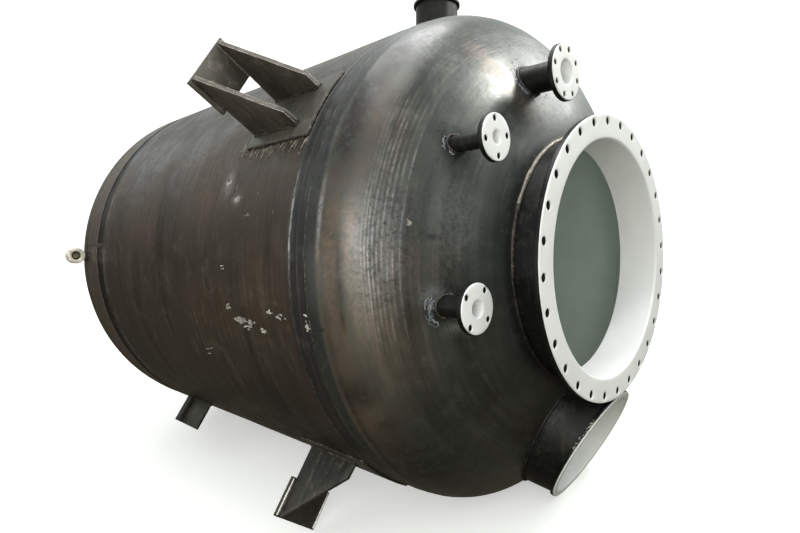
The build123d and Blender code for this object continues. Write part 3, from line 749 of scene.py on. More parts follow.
def ridge_field(c, r, P):
    sec = .16 + .84 * sstep(c, 38, 54) * sstep(c, 102, 84)
    zone = bump(r, 975, 75)
    w = 2.2 * wave(P * np.array([1, .25, .25]), 110, 12)
    f = np.zeros_like(r)
    for rr, a in RIDGES:
        f = f + a * bump(r + w, rr, 2.6) * (.55 + .45 * wave(P, 130, int(rr) % 9))
    return np.clip(f, 0, 1.6) * sec * zone, sec * zone


def head_relief(x, c, r, P):
    f, z = ridge_field(c, r, P)
    d = .9 + .6 * wave(P, 520, 13) + .3 * wave(P, 170, 14)
    d = d + 1.5 * z - 1.5 * f
    near = sstep(x, -600, -548) * 0 + bump(x, -572, 26)
    d = d + 1.2 * near - (.9 + .5 * wave(P, 330, 16)) * bump(x + 2 * wave(P, 150, 15), -540, 7)
    d = np.maximum(d, 0) * sstep(r, 500, 530)
    return d * np.where(x < -560, flat_bottom(c), 1.0)


def head_extra(x, c, r, P):
    f, z = ridge_field(c, r, P)
    band = sstep(x, -546, -556)
    # low marks the lower part of the head: below it adds painted shade and a browner tone there, and takes painted
    # highlights away
    low = sstep(np.abs(cdist(c, 180)), 100, 30)
    seam = bump(r, 525, 22)
    ring, aura = np.zeros_like(x), np.zeros_like(x)
    for n_, (off, wid, ang, st) in zip(NOZ, ((18, 12, 200, .7), (14, 9, 130, .6), (27, 12, 180, .35))):
        yy, zz = P[..., 1] - PLACE[n_[0]][0], P[..., 2] - PLACE[n_[0]][1]
        dd = np.hypot(yy, zz)
        # direction from the nozzle, 180 is towards -Y
        an = np.cos(np.arctan2(zz, yy) - math.radians(ang))
        ring = np.maximum(ring, st * bump(dd, n_[11] + off, wid) * sstep(an, -.5, .6))
        aura = np.maximum(aura, bump(dd, n_[11] + 4, 32))
    # a painted highlight along the middle of the ridge field
    core = bump(cdist(c, 76.5), 0, 12) * z
    kn = bump(x, -500, 72)
    brown = .95 * kn * sstep(c, 22, 46) * sstep(c, 132, 108)
    # painted shade on the upper knuckle and on a dark crescent beside the ridges
    painted_knuckle_shade = 1.15 * kn * sstep(c, 72, 54) * sstep(c, 14, 34) + .9 * bump(r, 905, 11) * sstep(c, 60, 70) * sstep(c, 98, 88)
    # a soft painted highlight between two nozzles
    calm_light = .26 * bump(cdist(c, 69), 0, 13) * bump(r, 745, 95)
    # the pale attribute holds painted highlights on the ridges, a painted highlight towards the top right and a pale
    # rub round the nozzles; the dark attribute holds painted shade towards the bottom and on the knuckle, with
    # darkening round the nozzle bases and the main neck
    return {"shine": 1.1 * f + .65 * core + (.04 + .10 * wave(P, 260, 18)) * bump(x, -540, 6) - .3 * low + .15 * ring
                     + .55 * bump(cdist(c, -14), 0, 26) * sstep(r, 1085, 960) * sstep(r, 540, 640) + calm_light,
            "soot": .60 * band + .30 * low + painted_knuckle_shade + .95 * aura + .5 * seam + .4 * bump(x, -522, 12) * sstep(c, 76, 90) + .5 * sstep(r, 700, 560) * .5,
            "warm": .35 * z - .5 * band + .25 * bump(x, -480, 50) + brown + .32 * low,
            "wear": .25 * f + ring}


surf = lambda rho: head_x(rho)
holes = [hole_x(PLACE[n[0]][0], PLACE[n[0]][1], n[11] - 1.0, surf) for n in NOZ]


def fix_head(P):
    rho = np.hypot(P[:, 1], P[:, 2])
    return np.stack([head_x(rho), P[:, 1], P[:, 2]], -1)


out_hole = hole_any(O_FACE, O_DIR, 308.0, fix_head)
skin("front_head_plate", xs, rs, nx, nr, head_relief, holes + [out_hole], M_HEAD, extra=head_extra,
     replaces=("front_head",))

# rear head
fi = np.linspace(90, math.degrees(A0), 22, endpoint=False)
fo = np.linspace(math.degrees(A0), .02, 60)
xs = [-2975, -2975, -2977, -2988] + list(XRT - RK * np.cos(np.radians(fi))) + list(XRT - XS - RS * np.cos(np.radians(fo)))
rs = [1100, 1110.5, 1112, 1112] + list(CK + RK * np.sin(np.radians(fi))) + list(RS * np.sin(np.radians(fo)))
nx = [0] * 4 + list(-np.cos(np.radians(fi))) + list(-np.cos(np.radians(fo)))
nr = [1] * 4 + list(np.sin(np.radians(fi))) + list(np.sin(np.radians(fo)))
xs, rs, nx, nr = [np.array(q)[::-1] for q in (xs, rs, nx, nr)]


def rear_relief(x, c, r, P):
    f = np.zeros_like(r)
    for rr, a in RIDGES:
        f = f + a * bump(r + 2 * wave(P, 110, 12), rr, 5)
    return np.maximum(.9 + .6 * wave(P, 520, 17) + .6 - .5 * f * bump(r, 975, 70), 0) * sstep(r, 0, 60) * np.where(x > -3030, flat_bottom(c), 1.0)


# rear head: a browner tone, and painted highlights patchily along the knuckle's ridges
skin("rear_head_plate", xs, rs, nx, nr, rear_relief, [], M_HEAD, replaces=("rear_head",),
     extra=lambda x, c, r, P: {"warm": .3 + 0 * x, "shine": .3 * bump(r, 975, 60) * sstep(wave(P, 60, 3), .1, .7)})

# ------------------------------------------------------------------ big flanged opening
E = np.array
X3, Y3, Z3 = E([1.0, 0, 0]), E([0, 1.0, 0]), E([0, 0, 1.0])
ri, ro = 488.0, 496.0
x_end = float(head_x(490, 20))
lip = [(ri + 10 - 10 * math.sin(math.radians(a)), -10 + 10 * math.cos(math.radians(a))) for a in range(0, 91, 15)]
V, F = holed_ring(0, 0, -.2, -6.0, 1120, 28, -5.5, 17.2,
                  [(586.0, -.2), (586.9, -.6), (587.3, -1.8), (587.3, -5.0), (586.8, -6.0)],
                  [(r_, x_ - .2) for r_, x_ in lip] + [(ri, -60), (ri, x_end), (ro, x_end), (ro, -6.0)], 1.0, 12, 6)
ob = new_mesh("main_lap_and_bore", V, F, M_LIN)
weld(ob)
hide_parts("main_neck_lining")
V, F = holed_ring(0, 0, -6.0, -26.0, 1120, 28, -5.5, 15.0,
                  [(587.0, -6.0), (587.4, -6.6), (587.5, -8), (587.5, -16), (587.5, -24.4), (587.0, -25.6), (586.0, -26.0)],
                  [(508.2, -6.0), (508.2, -26.0)], .8, 12, 6)
ob = new_mesh("main_flange_ring", V, F, M_NOZ)
weld(ob)
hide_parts("main_flange")
neck_end = float(head_x(508, 12)) + 2
ob = tube("main_neck_pipe", E([0.0, 0, 0]), X3, Y3, Z3,
          [(496.3, -6.2), (508, -6.2), (508, -30), (507.6, -60), (507.8, -90), (507.6, -120), (508, -150), (508, neck_end), (496.3, neck_end)],
          360, M_NOZ)
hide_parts("main_neck")

# ------------------------------------------------------------------ nozzles on the head
for (name, fx, rho, clk, od, st, lap, lod, pcd, cnt, hd, nrr, nw, lt, first) in NOZ:
    cy, cz = PLACE[name]
    rb = nrr - nw - lt
    end_in = lambda y, z: head_x(np.hypot(y, z), 20.0) + 1.0
    q = 4.0
    lip = [(rb + q - q * math.sin(math.radians(a)), fx - q + q * math.cos(math.radians(a))) for a in range(0, 91, 18)]
    V, F = holed_ring(cy, cz, fx, fx - lap, pcd, cnt, first, hd / 2 + 2.5,
                      [(lod / 2 - 1.6, fx), (lod / 2 - .5, fx - .5), (lod / 2, fx - 1.6), (lod / 2, fx - lap + .6), (lod / 2 - .6, fx - lap)],
                      lip + [(rb, fx - 40), (rb, end_in), (nrr - nw - .2, end_in), (nrr - nw - .2, fx - lap)], .8,
                      14 if cnt == 4 else 9, 6)
    ob = new_mesh(name + "_lap_and_bore", V, F, M_LIN)
    weld(ob)
    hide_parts(name + "_lining")
    xb = fx - lap - st
    V, F = holed_ring(cy, cz, fx - lap, xb, pcd, cnt, first, hd / 2,
                      [(od / 2 - 1.2, fx - lap), (od / 2 - .3, fx - lap - .4), (od / 2, fx - lap - 1.4), (od / 2, xb + 1.6), (od / 2 - .5, xb + .5), (od / 2 - 1.6, xb)],
                      [(nrr + .2, fx - lap), (nrr + .2, xb)], .8, 14 if cnt == 4 else 9, 6)
    ob = new_mesh(name + "_flange_ring", V, F, M_NOZ)
    weld(ob)
    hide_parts(name + "_flange")
    hx = lambda base, d: head_x(np.hypot(base[:, 1], base[:, 2]), 12.0) - fx + 1.0
    ob = tube(name + "_pipe", E([fx, cy, cz]), X3, Y3, Z3,
              [(nrr - nw, -lap - .1), (nrr, -lap - .1), (nrr, -lap - st - 6), (nrr - .3, -lap - st - 26), (nrr, hx), (nrr - nw, hx)],
              72, M_NOZ)
    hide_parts(name + "_neck")


# ------------------------------------------------------------------ slanted outlet
def along_out(inset):
    """distance along the outlet's axis, from its face plane, where a line meets the head"""
    def f(base, d):
        lo, hi = np.full(len(base), -560.0), np.full(len(base), 0.0)
        for _ in range(34):
            mid = (lo + hi) / 2
            P = base + mid[:, None] * O_DIR
            rr_ = np.hypot(P[:, 1], P[:, 2])
            lim = np.where(P[:, 0] > XT, 0, 1)
            inside = np.where(P[:, 0] <= XT, rr_ < R - inset, (rr_ < R - inset) & (P[:, 0] < head_x(np.minimum(rr_, R - inset - .01), inset)))
            lo = np.where(inside, mid, lo)
            hi = np.where(inside, hi, mid)
        return (lo + hi) / 2
    return f


def clear_of_main(f, extra=0.0):
    """keeps the outlet's neck out of the big neck: its end stops where it meets that pipe"""
    def g(base, d):
        h = f(base, d)
        for i in range(len(base)):
            for t in np.linspace(0, h[i], 60):
                P = base[i] + t * O_DIR
                if math.hypot(P[1], P[2]) < 508.0 + extra:
                    h[i] = t
                    break
        return h
    return g


ring_out = [(280.2, -18), (289.6, -18), (290.6, -17.4), (291, -16.4), (291, -7.4), (290.4, -6.4), (289.6, -6.0), (280.2, -6.0)]
ob = tube("outlet_lap_ring", O_FACE, O_DIR, O_SIDE, O_UP, ring_out, 180, M_NOZ)
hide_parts("outlet_ring")
g0 = clear_of_main(along_out(12.0))
ob = tube("outlet_neck_cone", O_FACE, O_DIR, O_SIDE, O_UP,
          [(264.3, -6.2), (276, -6.2), (276.5, -10), (281.5, -28), (291, -60), (301.5, -96), (311, -130), (312, -136)]
          + [(312, g0), (264.3, g0)], 240, M_NOZ)
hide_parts("outlet_neck")
g1 = clear_of_main(along_out(20.0), -4)
lip = [(256 + 8 - 8 * math.sin(math.radians(a)), -8 + 8 * math.cos(math.radians(a))) for a in range(0, 91, 15)]
ob = tube("outlet_lap_and_bore", O_FACE, O_DIR, O_SIDE, O_UP,
          [(264.0, -6.0), (287.4, -6.0), (288, -5.2), (288, -1.2), (287.2, -.3), (286.4, -.05)] + [(a, b - .05) for a, b in lip]
          + [(256, -50), (256, g1), (264, g1)], 240, M_LIN)
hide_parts("outlet_lining")


# ------------------------------------------------------------------ top branch
def to_shell(rad):
    def f(base, d):
        u = (base - E([TOP_X, 0, 0])) @ T_SIDE
        return np.sqrt(rad * rad - u * u)
    return f


C_TOP = E([TOP_X, 0.0, 0.0])
ob = tube("top_branch_pipe", C_TOP, T_DIR, X3, T_SIDE,
          [(101.6, to_shell(1100.2)), (109.5, to_shell(1100.2)), (109.5, 1180), (109.2, 1240), (109.4, 1300), (109.5, 1336), (101.6, 1336)],
          120, M_NOZ)
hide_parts("top_neck")
ob = tube("top_lap_ring", C_TOP, T_DIR, X3, T_SIDE,
          [(109.6, 1324), (120.2, 1324), (121.2, 1324.6), (121.5, 1325.8), (121.5, 1334.6), (120.9, 1335.7), (120, 1336), (109.6, 1336)],
          120, M_NOZ)
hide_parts("top_ring")
ob = tube("top_lap_and_bore", C_TOP, T_DIR, X3, T_SIDE,
          [(101.4, to_shell(1092.2)), (101.4, 1336), (119.5, 1336), (119.5, 1340), (118.6, 1341), (101.5, 1341), (98.4, 1339.6), (96.5, 1336), (96.5, to_shell(1092.2))],
          120, M_LIN)
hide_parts("top_lining")

# ------------------------------------------------------------------ support brackets
weld_parts, pale_parts, spat_parts, edge_highlight_parts = [], [], [], []
BR = [("bracket_a", 45.6, (-1, 1)), ("bracket_b", 134.4, (-1,)), ("bracket_c", 225.6, (1,)), ("bracket_d", 314.4, (-1, 1))]


def line(p, q, step=2.6):
    n = max(4, int(np.linalg.norm(q - p) / step))
    return p + (q - p) * np.linspace(0, 1, n)[:, None]


for bi, (name, clk, sides) in enumerate(BR):
    e, t = radial(np.float64(clk)), tangent(np.float64(clk))
    # pad, bent to the shell
    nxp, nsp = 60, 46
    half = 8.2
    u = np.concatenate([[0], np.linspace(.005, .995, nxp), [1]])
    s = np.concatenate([[0], np.linspace(.006, .994, nsp), [1]])
    U, S = np.meshgrid(u, s, indexing="ij")
    hgt = np.full_like(U, 10.0)
    hgt[0], hgt[-1], hgt[:, 0], hgt[:, -1] = 8.4, 8.4, 8.4, 8.4
    xx = -1134 + 420 * U
    cc = clk - half + 2 * half * S
    wv = wave(np.stack([xx, S * 320, 0 * xx], -1), 120, 20 + bi)
    rr = R + hgt - np.abs(wv) * .5 * (hgt > 9)
    top = radial(cc) * rr[..., None]
    top[..., 0] = xx
    bot = radial(cc) * (R + .02)
    bot[..., 0] = xx
    n0, n1 = U.shape
    ft = grid_faces(n0, n1, closed=False)
    ring = [i * n1 for i in range(n0)] + [(n0 - 1) * n1 + j for j in range(1, n1)] + [i * n1 + n1 - 1 for i in range(n0 - 2, -1, -1)] + [j for j in range(n1 - 2, 0, -1)]
    k = n0 * n1
    side = [(ring[i], ring[(i + 1) % len(ring)], ring[(i + 1) % len(ring)] + k, ring[i] + k) for i in range(len(ring))]
    F = [tuple(q) for q in ft] + [tuple(q[::-1] + k) for q in ft] + side
    P = np.concatenate([top.reshape(-1, 3), bot.reshape(-1, 3)])
    att = {"wear": np.full(len(P), .36), "soot": np.full(len(P), .1), "warm": np.full(len(P), .15), "shine": np.full(len(P), .15)}
    ob = new_mesh(name + "_saddle_pad", P, F, M_PAD, attrs=att)
    weld(ob)
    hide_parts(name + "_pad")
    # bead round the pad
    cs = np.linspace(clk - half, clk + half, 120)
    loop = [on_shell(np.linspace(-1134, -714, 160), np.full(160, clk - half), 3)[0], on_shell(np.full(120, -714), cs, 3)[0],
            on_shell(np.linspace(-714, -1134, 160), np.full(160, clk + half), 3)[0], on_shell(np.full(120, -1134), cs[::-1], 3)[0]]
    loop = np.concatenate(loop)
    nn = loop * E([0, 1, 1])
    nn /= np.linalg.norm(nn, axis=1)[:, None]
    weld_parts.append(bead(loop, nn, 5.5, 7.5, .8, True, 30 + bi, amp=.3))
    # ribs
    rp = []
    for sgn in sides:
        outl = [(-1108, 1116), (-804, 1116), (-804, 1128), (-810, 1185), (-1096, 1444), (-1108, 1444)]
        rp.append(plate(outl, 16, t * sgn * 97, X3, e, t, seed=bi * 3 + sgn))
        for o in (-9, 9):
            off = sgn * 97 + o
            h = math.sqrt(1122 ** 2 - off ** 2) + 1.5
            a, b_ = t * off + e * h + X3 * -1107, t * off + e * h + X3 * -803
            L = line(a, b_)
            weld_parts.append(bead(L, np.repeat(e[None], len(L), 0), 6.0, 7, .9, False, 50 + bi, amp=.25))
        a = t * (sgn * 97 - sgn * 9) + e * 1272 + X3 * -1107
        L = line(a, a + e * 168)
        (pale_parts if bi in (0, 1) else weld_parts).append(bead(L, np.repeat(X3[None], len(L), 0), 4.5, 7, .9, False, 60 + bi, amp=.3))
        a = t * (sgn * 97 + sgn * 9) + e * 1272 + X3 * -1107
        L = line(a, a + e * 168)
        weld_parts.append(bead(L, np.repeat(X3[None], len(L), 0), 4.5, 7, .9, False, 61 + bi, amp=.3))
    V, F = join_parts(rp)
    one = len(sides) == 1
    # the two-rib brackets take the lighter copy of the steel: painted light
    m_br = M_BRK if one else M_BRK_PAINTED_LIT
    ob = new_mesh(name + ("_rib_plate" if one else "_rib_pair"), V, F, m_br)
    weld(ob, .001)
    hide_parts(name + ("_rib" if one else "_ribs"))
    if one:
        # painted highlights: near-white lines along both ends of the lower base plate, standing in for their lit edges
        for off, rd in ((sides[0] * 117, 4.2), (-sides[0] * 118, 5.4)):
            a = t * off + e * 1276 + X3 * -1107.7
            L = line(a, a + e * 164)
            edge_highlight_parts.append(bead(L, np.repeat(X3[None], len(L), 0), rd, 11, .5, False, 64 + bi, k=7, amp=.45))
    else:
        # painted glints: thin pale lines along the cut edges of the ribs
        for sgn in sides:
            for q0, q1 in (((-1094, 1442.6), (-811, 1186.4)), ((-809.6, 1183), (-804, 1130))):
                for o in (-7.6, 7.6):
                    off = t * (sgn * 97 + o)
                    L = line(off + e * q0[1] + X3 * q0[0], off + e * q1[1] + X3 * q1[0])
                    pale_parts.append(bead(L, np.repeat(e[None], len(L), 0), 1.5, 13, .9, False, 71 + bi, k=6, amp=.6))
    V, F = plate([(-124.6, 1270.3), (124.6, 1270.3), (124.6, 1447.0), (-124.6, 1447.0)], 16, X3 * -1116.0, t, e, X3, seed=70 + bi)
    ob = new_mesh(name + "_end_plate", V, F, m_br)
    weld(ob, .001)
    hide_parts(name + "_base_plate")
    # spatter near the pad
    g = np.random.default_rng(90 + bi)
    n = 170
    sx = g.uniform(-1190, -680, n)
    sc = clk + g.choice([-1, 1], n) * (half + np.abs(g.normal(0, 1.3, n)) + .3)
    if bi == 0:
        sc = np.where(g.uniform(size=n) < .75, clk + half + np.abs(g.normal(0, 1.4, n)) + .3, sc)
    P, N = on_shell(sx, sc, -.4)
    spat_parts.append(blobs(P, N, 2.6, 90 + bi))

# ------------------------------------------------------------------ rear brackets
for nm, clk, sd in (("rear_bracket_left", 134.4, -1), ("rear_bracket_right", 225.6, 1)):
    e, t = radial(np.float64(clk)), tangent(np.float64(clk))
    a = plate([(-2530.6, 1108), (-2279.4, 1108), (-2279.4, 1275.6), (-2530.6, 1275.6)], 16, E([0.0, 0, 0]), X3, e, t, seed=81)
    b_ = plate([(-2530.6, 1108), (-2483.4, 1108), (-2483.4, 1275.6), (-2530.6, 1275.6)], 25.4, t * sd * 21.0, X3, e, t, seed=82)
    V, F = join_parts([a, b_])
    ob = new_mesh(nm + "_lug", V, F, M_BRK)
    weld(ob, .001)
    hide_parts(nm)
    for off in (-9, 9):
        p = t * off + e * 1112.5
        L = line(p + X3 * -2529, p + X3 * -2281)
        weld_parts.append(bead(L, np.repeat(e[None], len(L), 0), 6, 7, .9, False, 84, amp=.25))

# flush bar where the rear girth ring's ends meet
e, t = radial(np.float64(74.5)), tangent(np.float64(74.5))
V, F = plate([(-2774, -12), (-2681, -12), (-2681, 12), (-2774, 12)], 3.2, e * 1109.9, X3, t, e, b=.8, seed=93)
weld(new_mesh("rear_girth_joint_bar", V, F, M_PAD), .001)
L = line(E([-2973.0, 0, 0]) + e * (R - .9), E([-2777.0, 0, 0]) + e * (R - .9))
V, F = bead(L, np.repeat(e[None], len(L), 0), 2.6, 9, .4, False, 94, amp=.2)
new_mesh("rear_course_joint_line", V, F, M_DARKB, smooth=70)

# ------------------------------------------------------------------ eyes
for nm, clk in (("rear_eye_left", 77.8), ("rear_eye_right", 258.8)):
    e, t = radial(np.float64(clk)), tangent(np.float64(clk))
    c0 = e * 1180 + X3 * -2966
    prof = []
    for rr_, hh in ((27.2, -26), (29, -28.6), (32, -29.8), (46, -29.8), (49.4, -28.4), (50.8, -25.5), (50.9, -12), (48.6, -8), (48.4, 3), (50.6, 8), (50.8, 25.5), (49.4, 28.4), (46, 29.8), (33, 29.8), (30, 28.6), (27.2, 26), (27, 0)):
        prof.append((rr_, hh))
    ob = tube(nm + "_ring", c0, X3, e, t, prof, 64, M_EYE)
    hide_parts(nm)
    for nm2, r_, th_, dx, mt_ in (("_recess", 27.1, 24, -16.5, M_DARKB), ("_stud", 18.6, 16, 3.0, M_DISC)):
        V, F = plate([(r_ * math.cos(i * math.pi / 20), r_ * math.sin(i * math.pi / 20)) for i in range(40)], th_, c0 + X3 * dx, e, t, X3, b=1.0, seed=89)
        weld(new_mesh(nm + nm2, V, F, mt_), .001)
    V, F = plate([(-2987.8, 1106), (-2944.2, 1106), (-2944.2, 1134), (-2987.8, 1134)], 50, E([0.0, 0, 0]), X3, e, t, seed=88)
    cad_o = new_mesh(nm + "_foot", V, F, M_BRK)
    weld(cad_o, .001)
    lp = [(-2990, -27), (-2942, -27), (-2942, 27), (-2990, 27)]
    pts = np.concatenate([line(E([lp[i][0], lp[i][1], 0.0]), E([lp[(i + 1) % 4][0], lp[(i + 1) % 4][1], 0.0]), 2.4)[:-1] for i in range(4)])
    P = E([1.0, 0, 0]) * pts[:, 0:1] + t * pts[:, 1:2] + e * (R + 1)
    weld_parts.append(bead(P, np.repeat(e[None], len(P), 0), 5, 6, .9, True, 86, amp=.25))

# ------------------------------------------------------------------ weld beads on the shell and head
for x0, rad, fl, rr_ in ((-606, 3.2, .30, R - 1.2), (-706, 3.4, .34, R - 1.3), (-2680, 3.0, .35, R - 1.8), (-2775, 3.0, .35, R - 1.8), (-2975, 4.5, .26, R - 1.1)):
    n = 1500
    c = np.linspace(0, 360, n, endpoint=False)
    keep = flat_bottom(c)
    P = radial(c) * (rr_ - 2.5 * (1 - keep))[:, None] + X3 * x0
    P += X3 * (1.2 * wave(P, 260, 25))[:, None]
    N = radial(c)
    weld_parts.append(bead(P, N, rad, 6.5, fl, True, int(-x0), k=7, amp=.25))

n = 1300
th = np.linspace(0, 2 * math.pi, n, endpoint=False)
P, N = on_head(513 * np.cos(th), 513 * np.sin(th), 0.0)
P = P + X3 * 2.0
MAINB = bead(P, (N + E([0, 0, 0])), 9.0, 9, .85, True, 3, k=9, amp=.3)
for (name, fx, rho, clk, od, st, lap, lod, pcd, cnt, hd, nrr, nw, lt, first) in NOZ:
    cy, cz = PLACE[name]
    n = int(2 * math.pi * nrr / 1.8)
    th = np.linspace(0, 2 * math.pi, n, endpoint=False)
    P, N = on_head(cy + (nrr + 3) * np.cos(th), cz + (nrr + 3) * np.sin(th), 1.0)
    weld_parts.append(bead(P, N, 6.0, 6, .9, True, int(rho), amp=.4))
    xb = fx - lap - st
    Q = np.stack([np.full(n, xb - 1.0), cy + (nrr + 1) * np.cos(th), cz + (nrr + 1) * np.sin(th)], -1)
    weld_parts.append(bead(Q, np.repeat(-X3[None], n, 0), 4.5, 6, .9, True, int(rho) + 1, amp=.25))
    g = np.random.default_rng(int(rho))
    m_ = 60
    ra, tt = nrr + 12 + np.abs(g.normal(0, 16, m_)), g.uniform(0, 6.283, m_)
    P, N = on_head(cy + ra * np.cos(tt), cz + ra * np.sin(tt), -.3)
    spat_parts.append(blobs(P, N, 2.2, int(rho)))
lace = []
g = np.random.default_rng(303)
for (name, cnt_, a0_, a1_, off0, off1) in (("sample_nozzle", 13, 120, 238, 13, 44), ("gauge_nozzle", 6, 90, 240, 9, 24), ("inlet_nozzle", 7, 120, 230, 10, 34)):
    nrr = [q for q in NOZ if q[0] == name][0][11]
    cy, cz = PLACE[name]
    for _ in range(cnt_):
        s0 = g.uniform(a0_, a1_ - 20)
        an = np.radians(np.linspace(s0, min(a1_, s0 + g.uniform(16, 62)), 46))
        ra = nrr + g.uniform(off0, off1) + g.normal(0, 3.2) * np.sin(an * g.uniform(5, 11) + g.uniform(0, 6)) + 2.2 * np.sin(an * 23 + g.uniform(0, 6))
        P, N = on_head(cy + ra * np.cos(an), cz + ra * np.sin(an), .2)
        lace.append(bead(P, N, g.uniform(.9, 2.0), 8, .8, False, int(g.integers(1e4)), k=6, amp=.6))
V, F = join_parts(lace)
new_mesh("torn_scale_threads", V, F, M_LACE, smooth=70)
n = 900
th = np.linspace(0, 2 * math.pi, n, endpoint=False)
Q = np.stack([np.full(n, -27.0), 509 * np.cos(th), 509 * np.sin(th)], -1)
weld_parts.append(bead(Q, np.repeat(-X3[None], n, 0), 5.5, 7, .9, True, 4, amp=.25))
# outlet base
n = 760
th = np.linspace(0, 2 * math.pi, n, endpoint=False)
d = np.cos(th)[:, None] * O_SIDE + np.sin(th)[:, None] * O_UP
base = O_FACE + 315.0 * d
h = along_out(0.0)(base, d)
P = base + h[:, None] * O_DIR
keep = np.hypot(P[:, 1], P[:, 2]) > 524
idx = np.where(~keep)[0]
if len(idx):
    P, d2 = np.roll(P, -(idx[-1] + 1), 0), np.roll(keep, -(idx[-1] + 1))
    P = P[d2]
rho_ = np.hypot(P[:, 1], P[:, 2])
nx_, nr_ = head_n(rho_)
N = np.stack([nx_, nr_ * P[:, 1] / rho_, nr_ * P[:, 2] / rho_], -1)
OUTB = bead(P + N * 1.5, N, 8.0, 8, .9, len(idx) == 0, 6, amp=.32)
# top branch base
n = 300
th = np.linspace(0, 2 * math.pi, n, endpoint=False)
base = C_TOP + 112.0 * (np.cos(th)[:, None] * X3 + np.sin(th)[:, None] * T_SIDE)
P = base + to_shell(R)(base, None)[:, None] * T_DIR
N = P * E([0, 1, 1])
N /= np.linalg.norm(N, axis=1)[:, None]
weld_parts.append(bead(P + N, N, 6.5, 7, .9, True, 7, amp=.3))

for nm, parts, mt in (("plate_welds", weld_parts, M_BEAD), ("bright_welds", pale_parts, M_PALE), ("bright_edges", edge_highlight_parts, M_PAINTED_EDGE_HIGHLIGHT),
                      ("main_neck_weld", [MAINB], M_DARKB), ("outlet_weld", [OUTB], M_DARKB), ("spatter", spat_parts, M_BEAD)):
    V, F = join_parts(parts)
    if nm == "main_neck_weld":
        # the main neck's weld is dark at the bottom, plain in the middle and pale at the top: painted shade and painted
        # highlight by height
        zc = np.array([V[list(q), 2].mean() for q in F])
        new_mesh(nm, V, F, mt, smooth=70, mats=[M_DARKB, M_BEAD, M_PALE], face_mat=(zc > 40).astype(int) + (zc > 300))
    else:
        new_mesh(nm, V, F, mt, smooth=70)


# ------------------------------------------------------------------ white flecks and scratches
def flecks(items, seed, size):
    g = np.random.default_rng(seed)
    parts = []
    for (x0, c0, rho0, sx, ss, cnt) in items:
        for _ in range(cnt):
            x = x0 + g.normal(0, sx)
            c = c0 + math.degrees(g.normal(0, ss) / max(rho0, 100))
            if x > XT:
                y, z = -rho0 * math.sin(math.radians(c)), rho0 * math.cos(math.radians(c))
                rr_ = rho0 + (x0 - x) * .8
                y, z = -rr_ * math.sin(math.radians(c)), rr_ * math.cos(math.radians(c))
                P, N = on_head(np.array(y), np.array(z), -.2)
            else:
                P, N = on_shell(np.array(x), np.array(c), -.5)
            a = X3 - N * (X3 @ N)
            a /= np.linalg.norm(a)
            b_ = np.cross(N, a)
            k = 8
            w_, l_ = size * g.uniform(.2, .8), size * g.uniform(.4, 1.9)
            f1, f2 = g.uniform(0, 6.28, 2)
            ro_ = g.uniform(0, 3.14)
            V = []
            for lv in (0, 1.0):
                for i in range(k):
                    t_ = i / k * 6.283
                    q = (a * math.cos(t_ + ro_) * l_ + b_ * math.sin(t_ + ro_) * w_) * (1 + .30 * math.sin(2 * t_ + f1) + .18 * math.sin(3 * t_ + f2)) * (1 - .25 * lv)
                    V.append(P + q + N * lv)
            V.append(P + N * 1.15)
            F = [(i, (i + 1) % k, k + (i + 1) % k, k + i) for i in range(k)] + [(k + i, k + (i + 1) % k, 2 * k) for i in range(k)]
            parts.append((np.array(V), F))
    return join_parts(parts)


g = np.random.default_rng(59)
tc = g.uniform(2.2, 2.72, 46)
dc = np.cos(tc)[:, None] * O_SIDE + np.sin(tc)[:, None] * O_UP
V, F = blobs(O_FACE - O_DIR * g.uniform(7, 17.5, 46)[:, None] + 290.6 * dc, dc, 2.6, 61)
new_mesh("rim_chips", V, F, M_CHIP, smooth=60)

V, F = flecks([(-1168, 88.8, R, 14, 8, 6), (-1086, 91.2, R, 22, 9, 11), (-1050, 92.3, R, 26, 9, 7), (-1011, 91.6, R, 15, 9, 8),
               (-925, 93.0, R, 10, 5, 8), (-855, 88.9, R, 12, 4, 6), (-790, 89.5, R, 20, 4, 5), (-623, 90.2, R, 4, 14, 8),
               (-1190, 80, R, 12, 12, 3), (-1500, 100, R, 40, 20, 3)], 5, 7.4)
new_mesh("white_flecks", V, F, M_CHIP, smooth=60)


def strokes(items, seed):
    """thin ragged runs that lie on the shell: (x, clock, length round, width, lean)"""
    g = np.random.default_rng(seed)
    parts = []
    for (x0, c0, ln, wd, lean) in items:
        m_ = 9
        rows = []
        for lv in (0.0, .7):
            for sd in (-1, 1):
                t_ = np.linspace(0, 1, m_)
                w_ = wd * np.sin(np.clip(t_ * .9 + .1, 0, 1) * math.pi) ** .6 * g.uniform(.5, 1.2, m_)
                cc_ = c0 + np.degrees(ln * t_ / R)
                P_, N_ = on_shell(x0 + lean * t_ * ln + sd * w_, cc_, lv - .3)
                rows.append(P_)
        a0_, a1_, b0_, b1_ = rows
        V_ = np.concatenate([a0_, b0_, b1_, a1_])
        parts.append((V_, [tuple(q) for q in grid_faces(4, m_, closed=False)]))
    return join_parts(parts)


g = np.random.default_rng(77)
it = []
for i in range(30):
    x0 = -1195 + 490 * i / 29 + g.normal(0, 6)
    lo_ = 53.9 if x0 > -1134 else 51.5 + g.uniform(0, 3)
    it.append((x0, lo_ + g.uniform(-.1, .7), g.uniform(14, 52), g.uniform(1.7, 4.4), g.normal(-.25, .2)))
for i in range(4):
    it.append((g.normal(-1160, 40), g.uniform(58, 66), g.uniform(14, 40), g.uniform(1, 2.4), g.normal(-.3, .2)))
V, F = strokes(it, 3)
new_mesh("weld_runs", V, F, M_RUN, smooth=60)

# ------------------------------------------------------------------ floor, light, camera
CAM = Vector((0.949212, -2.179926, 0.472931))
right = Vector((0.715490, 0.684056, -0.141695))
up = Vector((-0.016100, 0.218850, 0.975625))
back = Vector((0.698438, -0.695772, 0.167598))

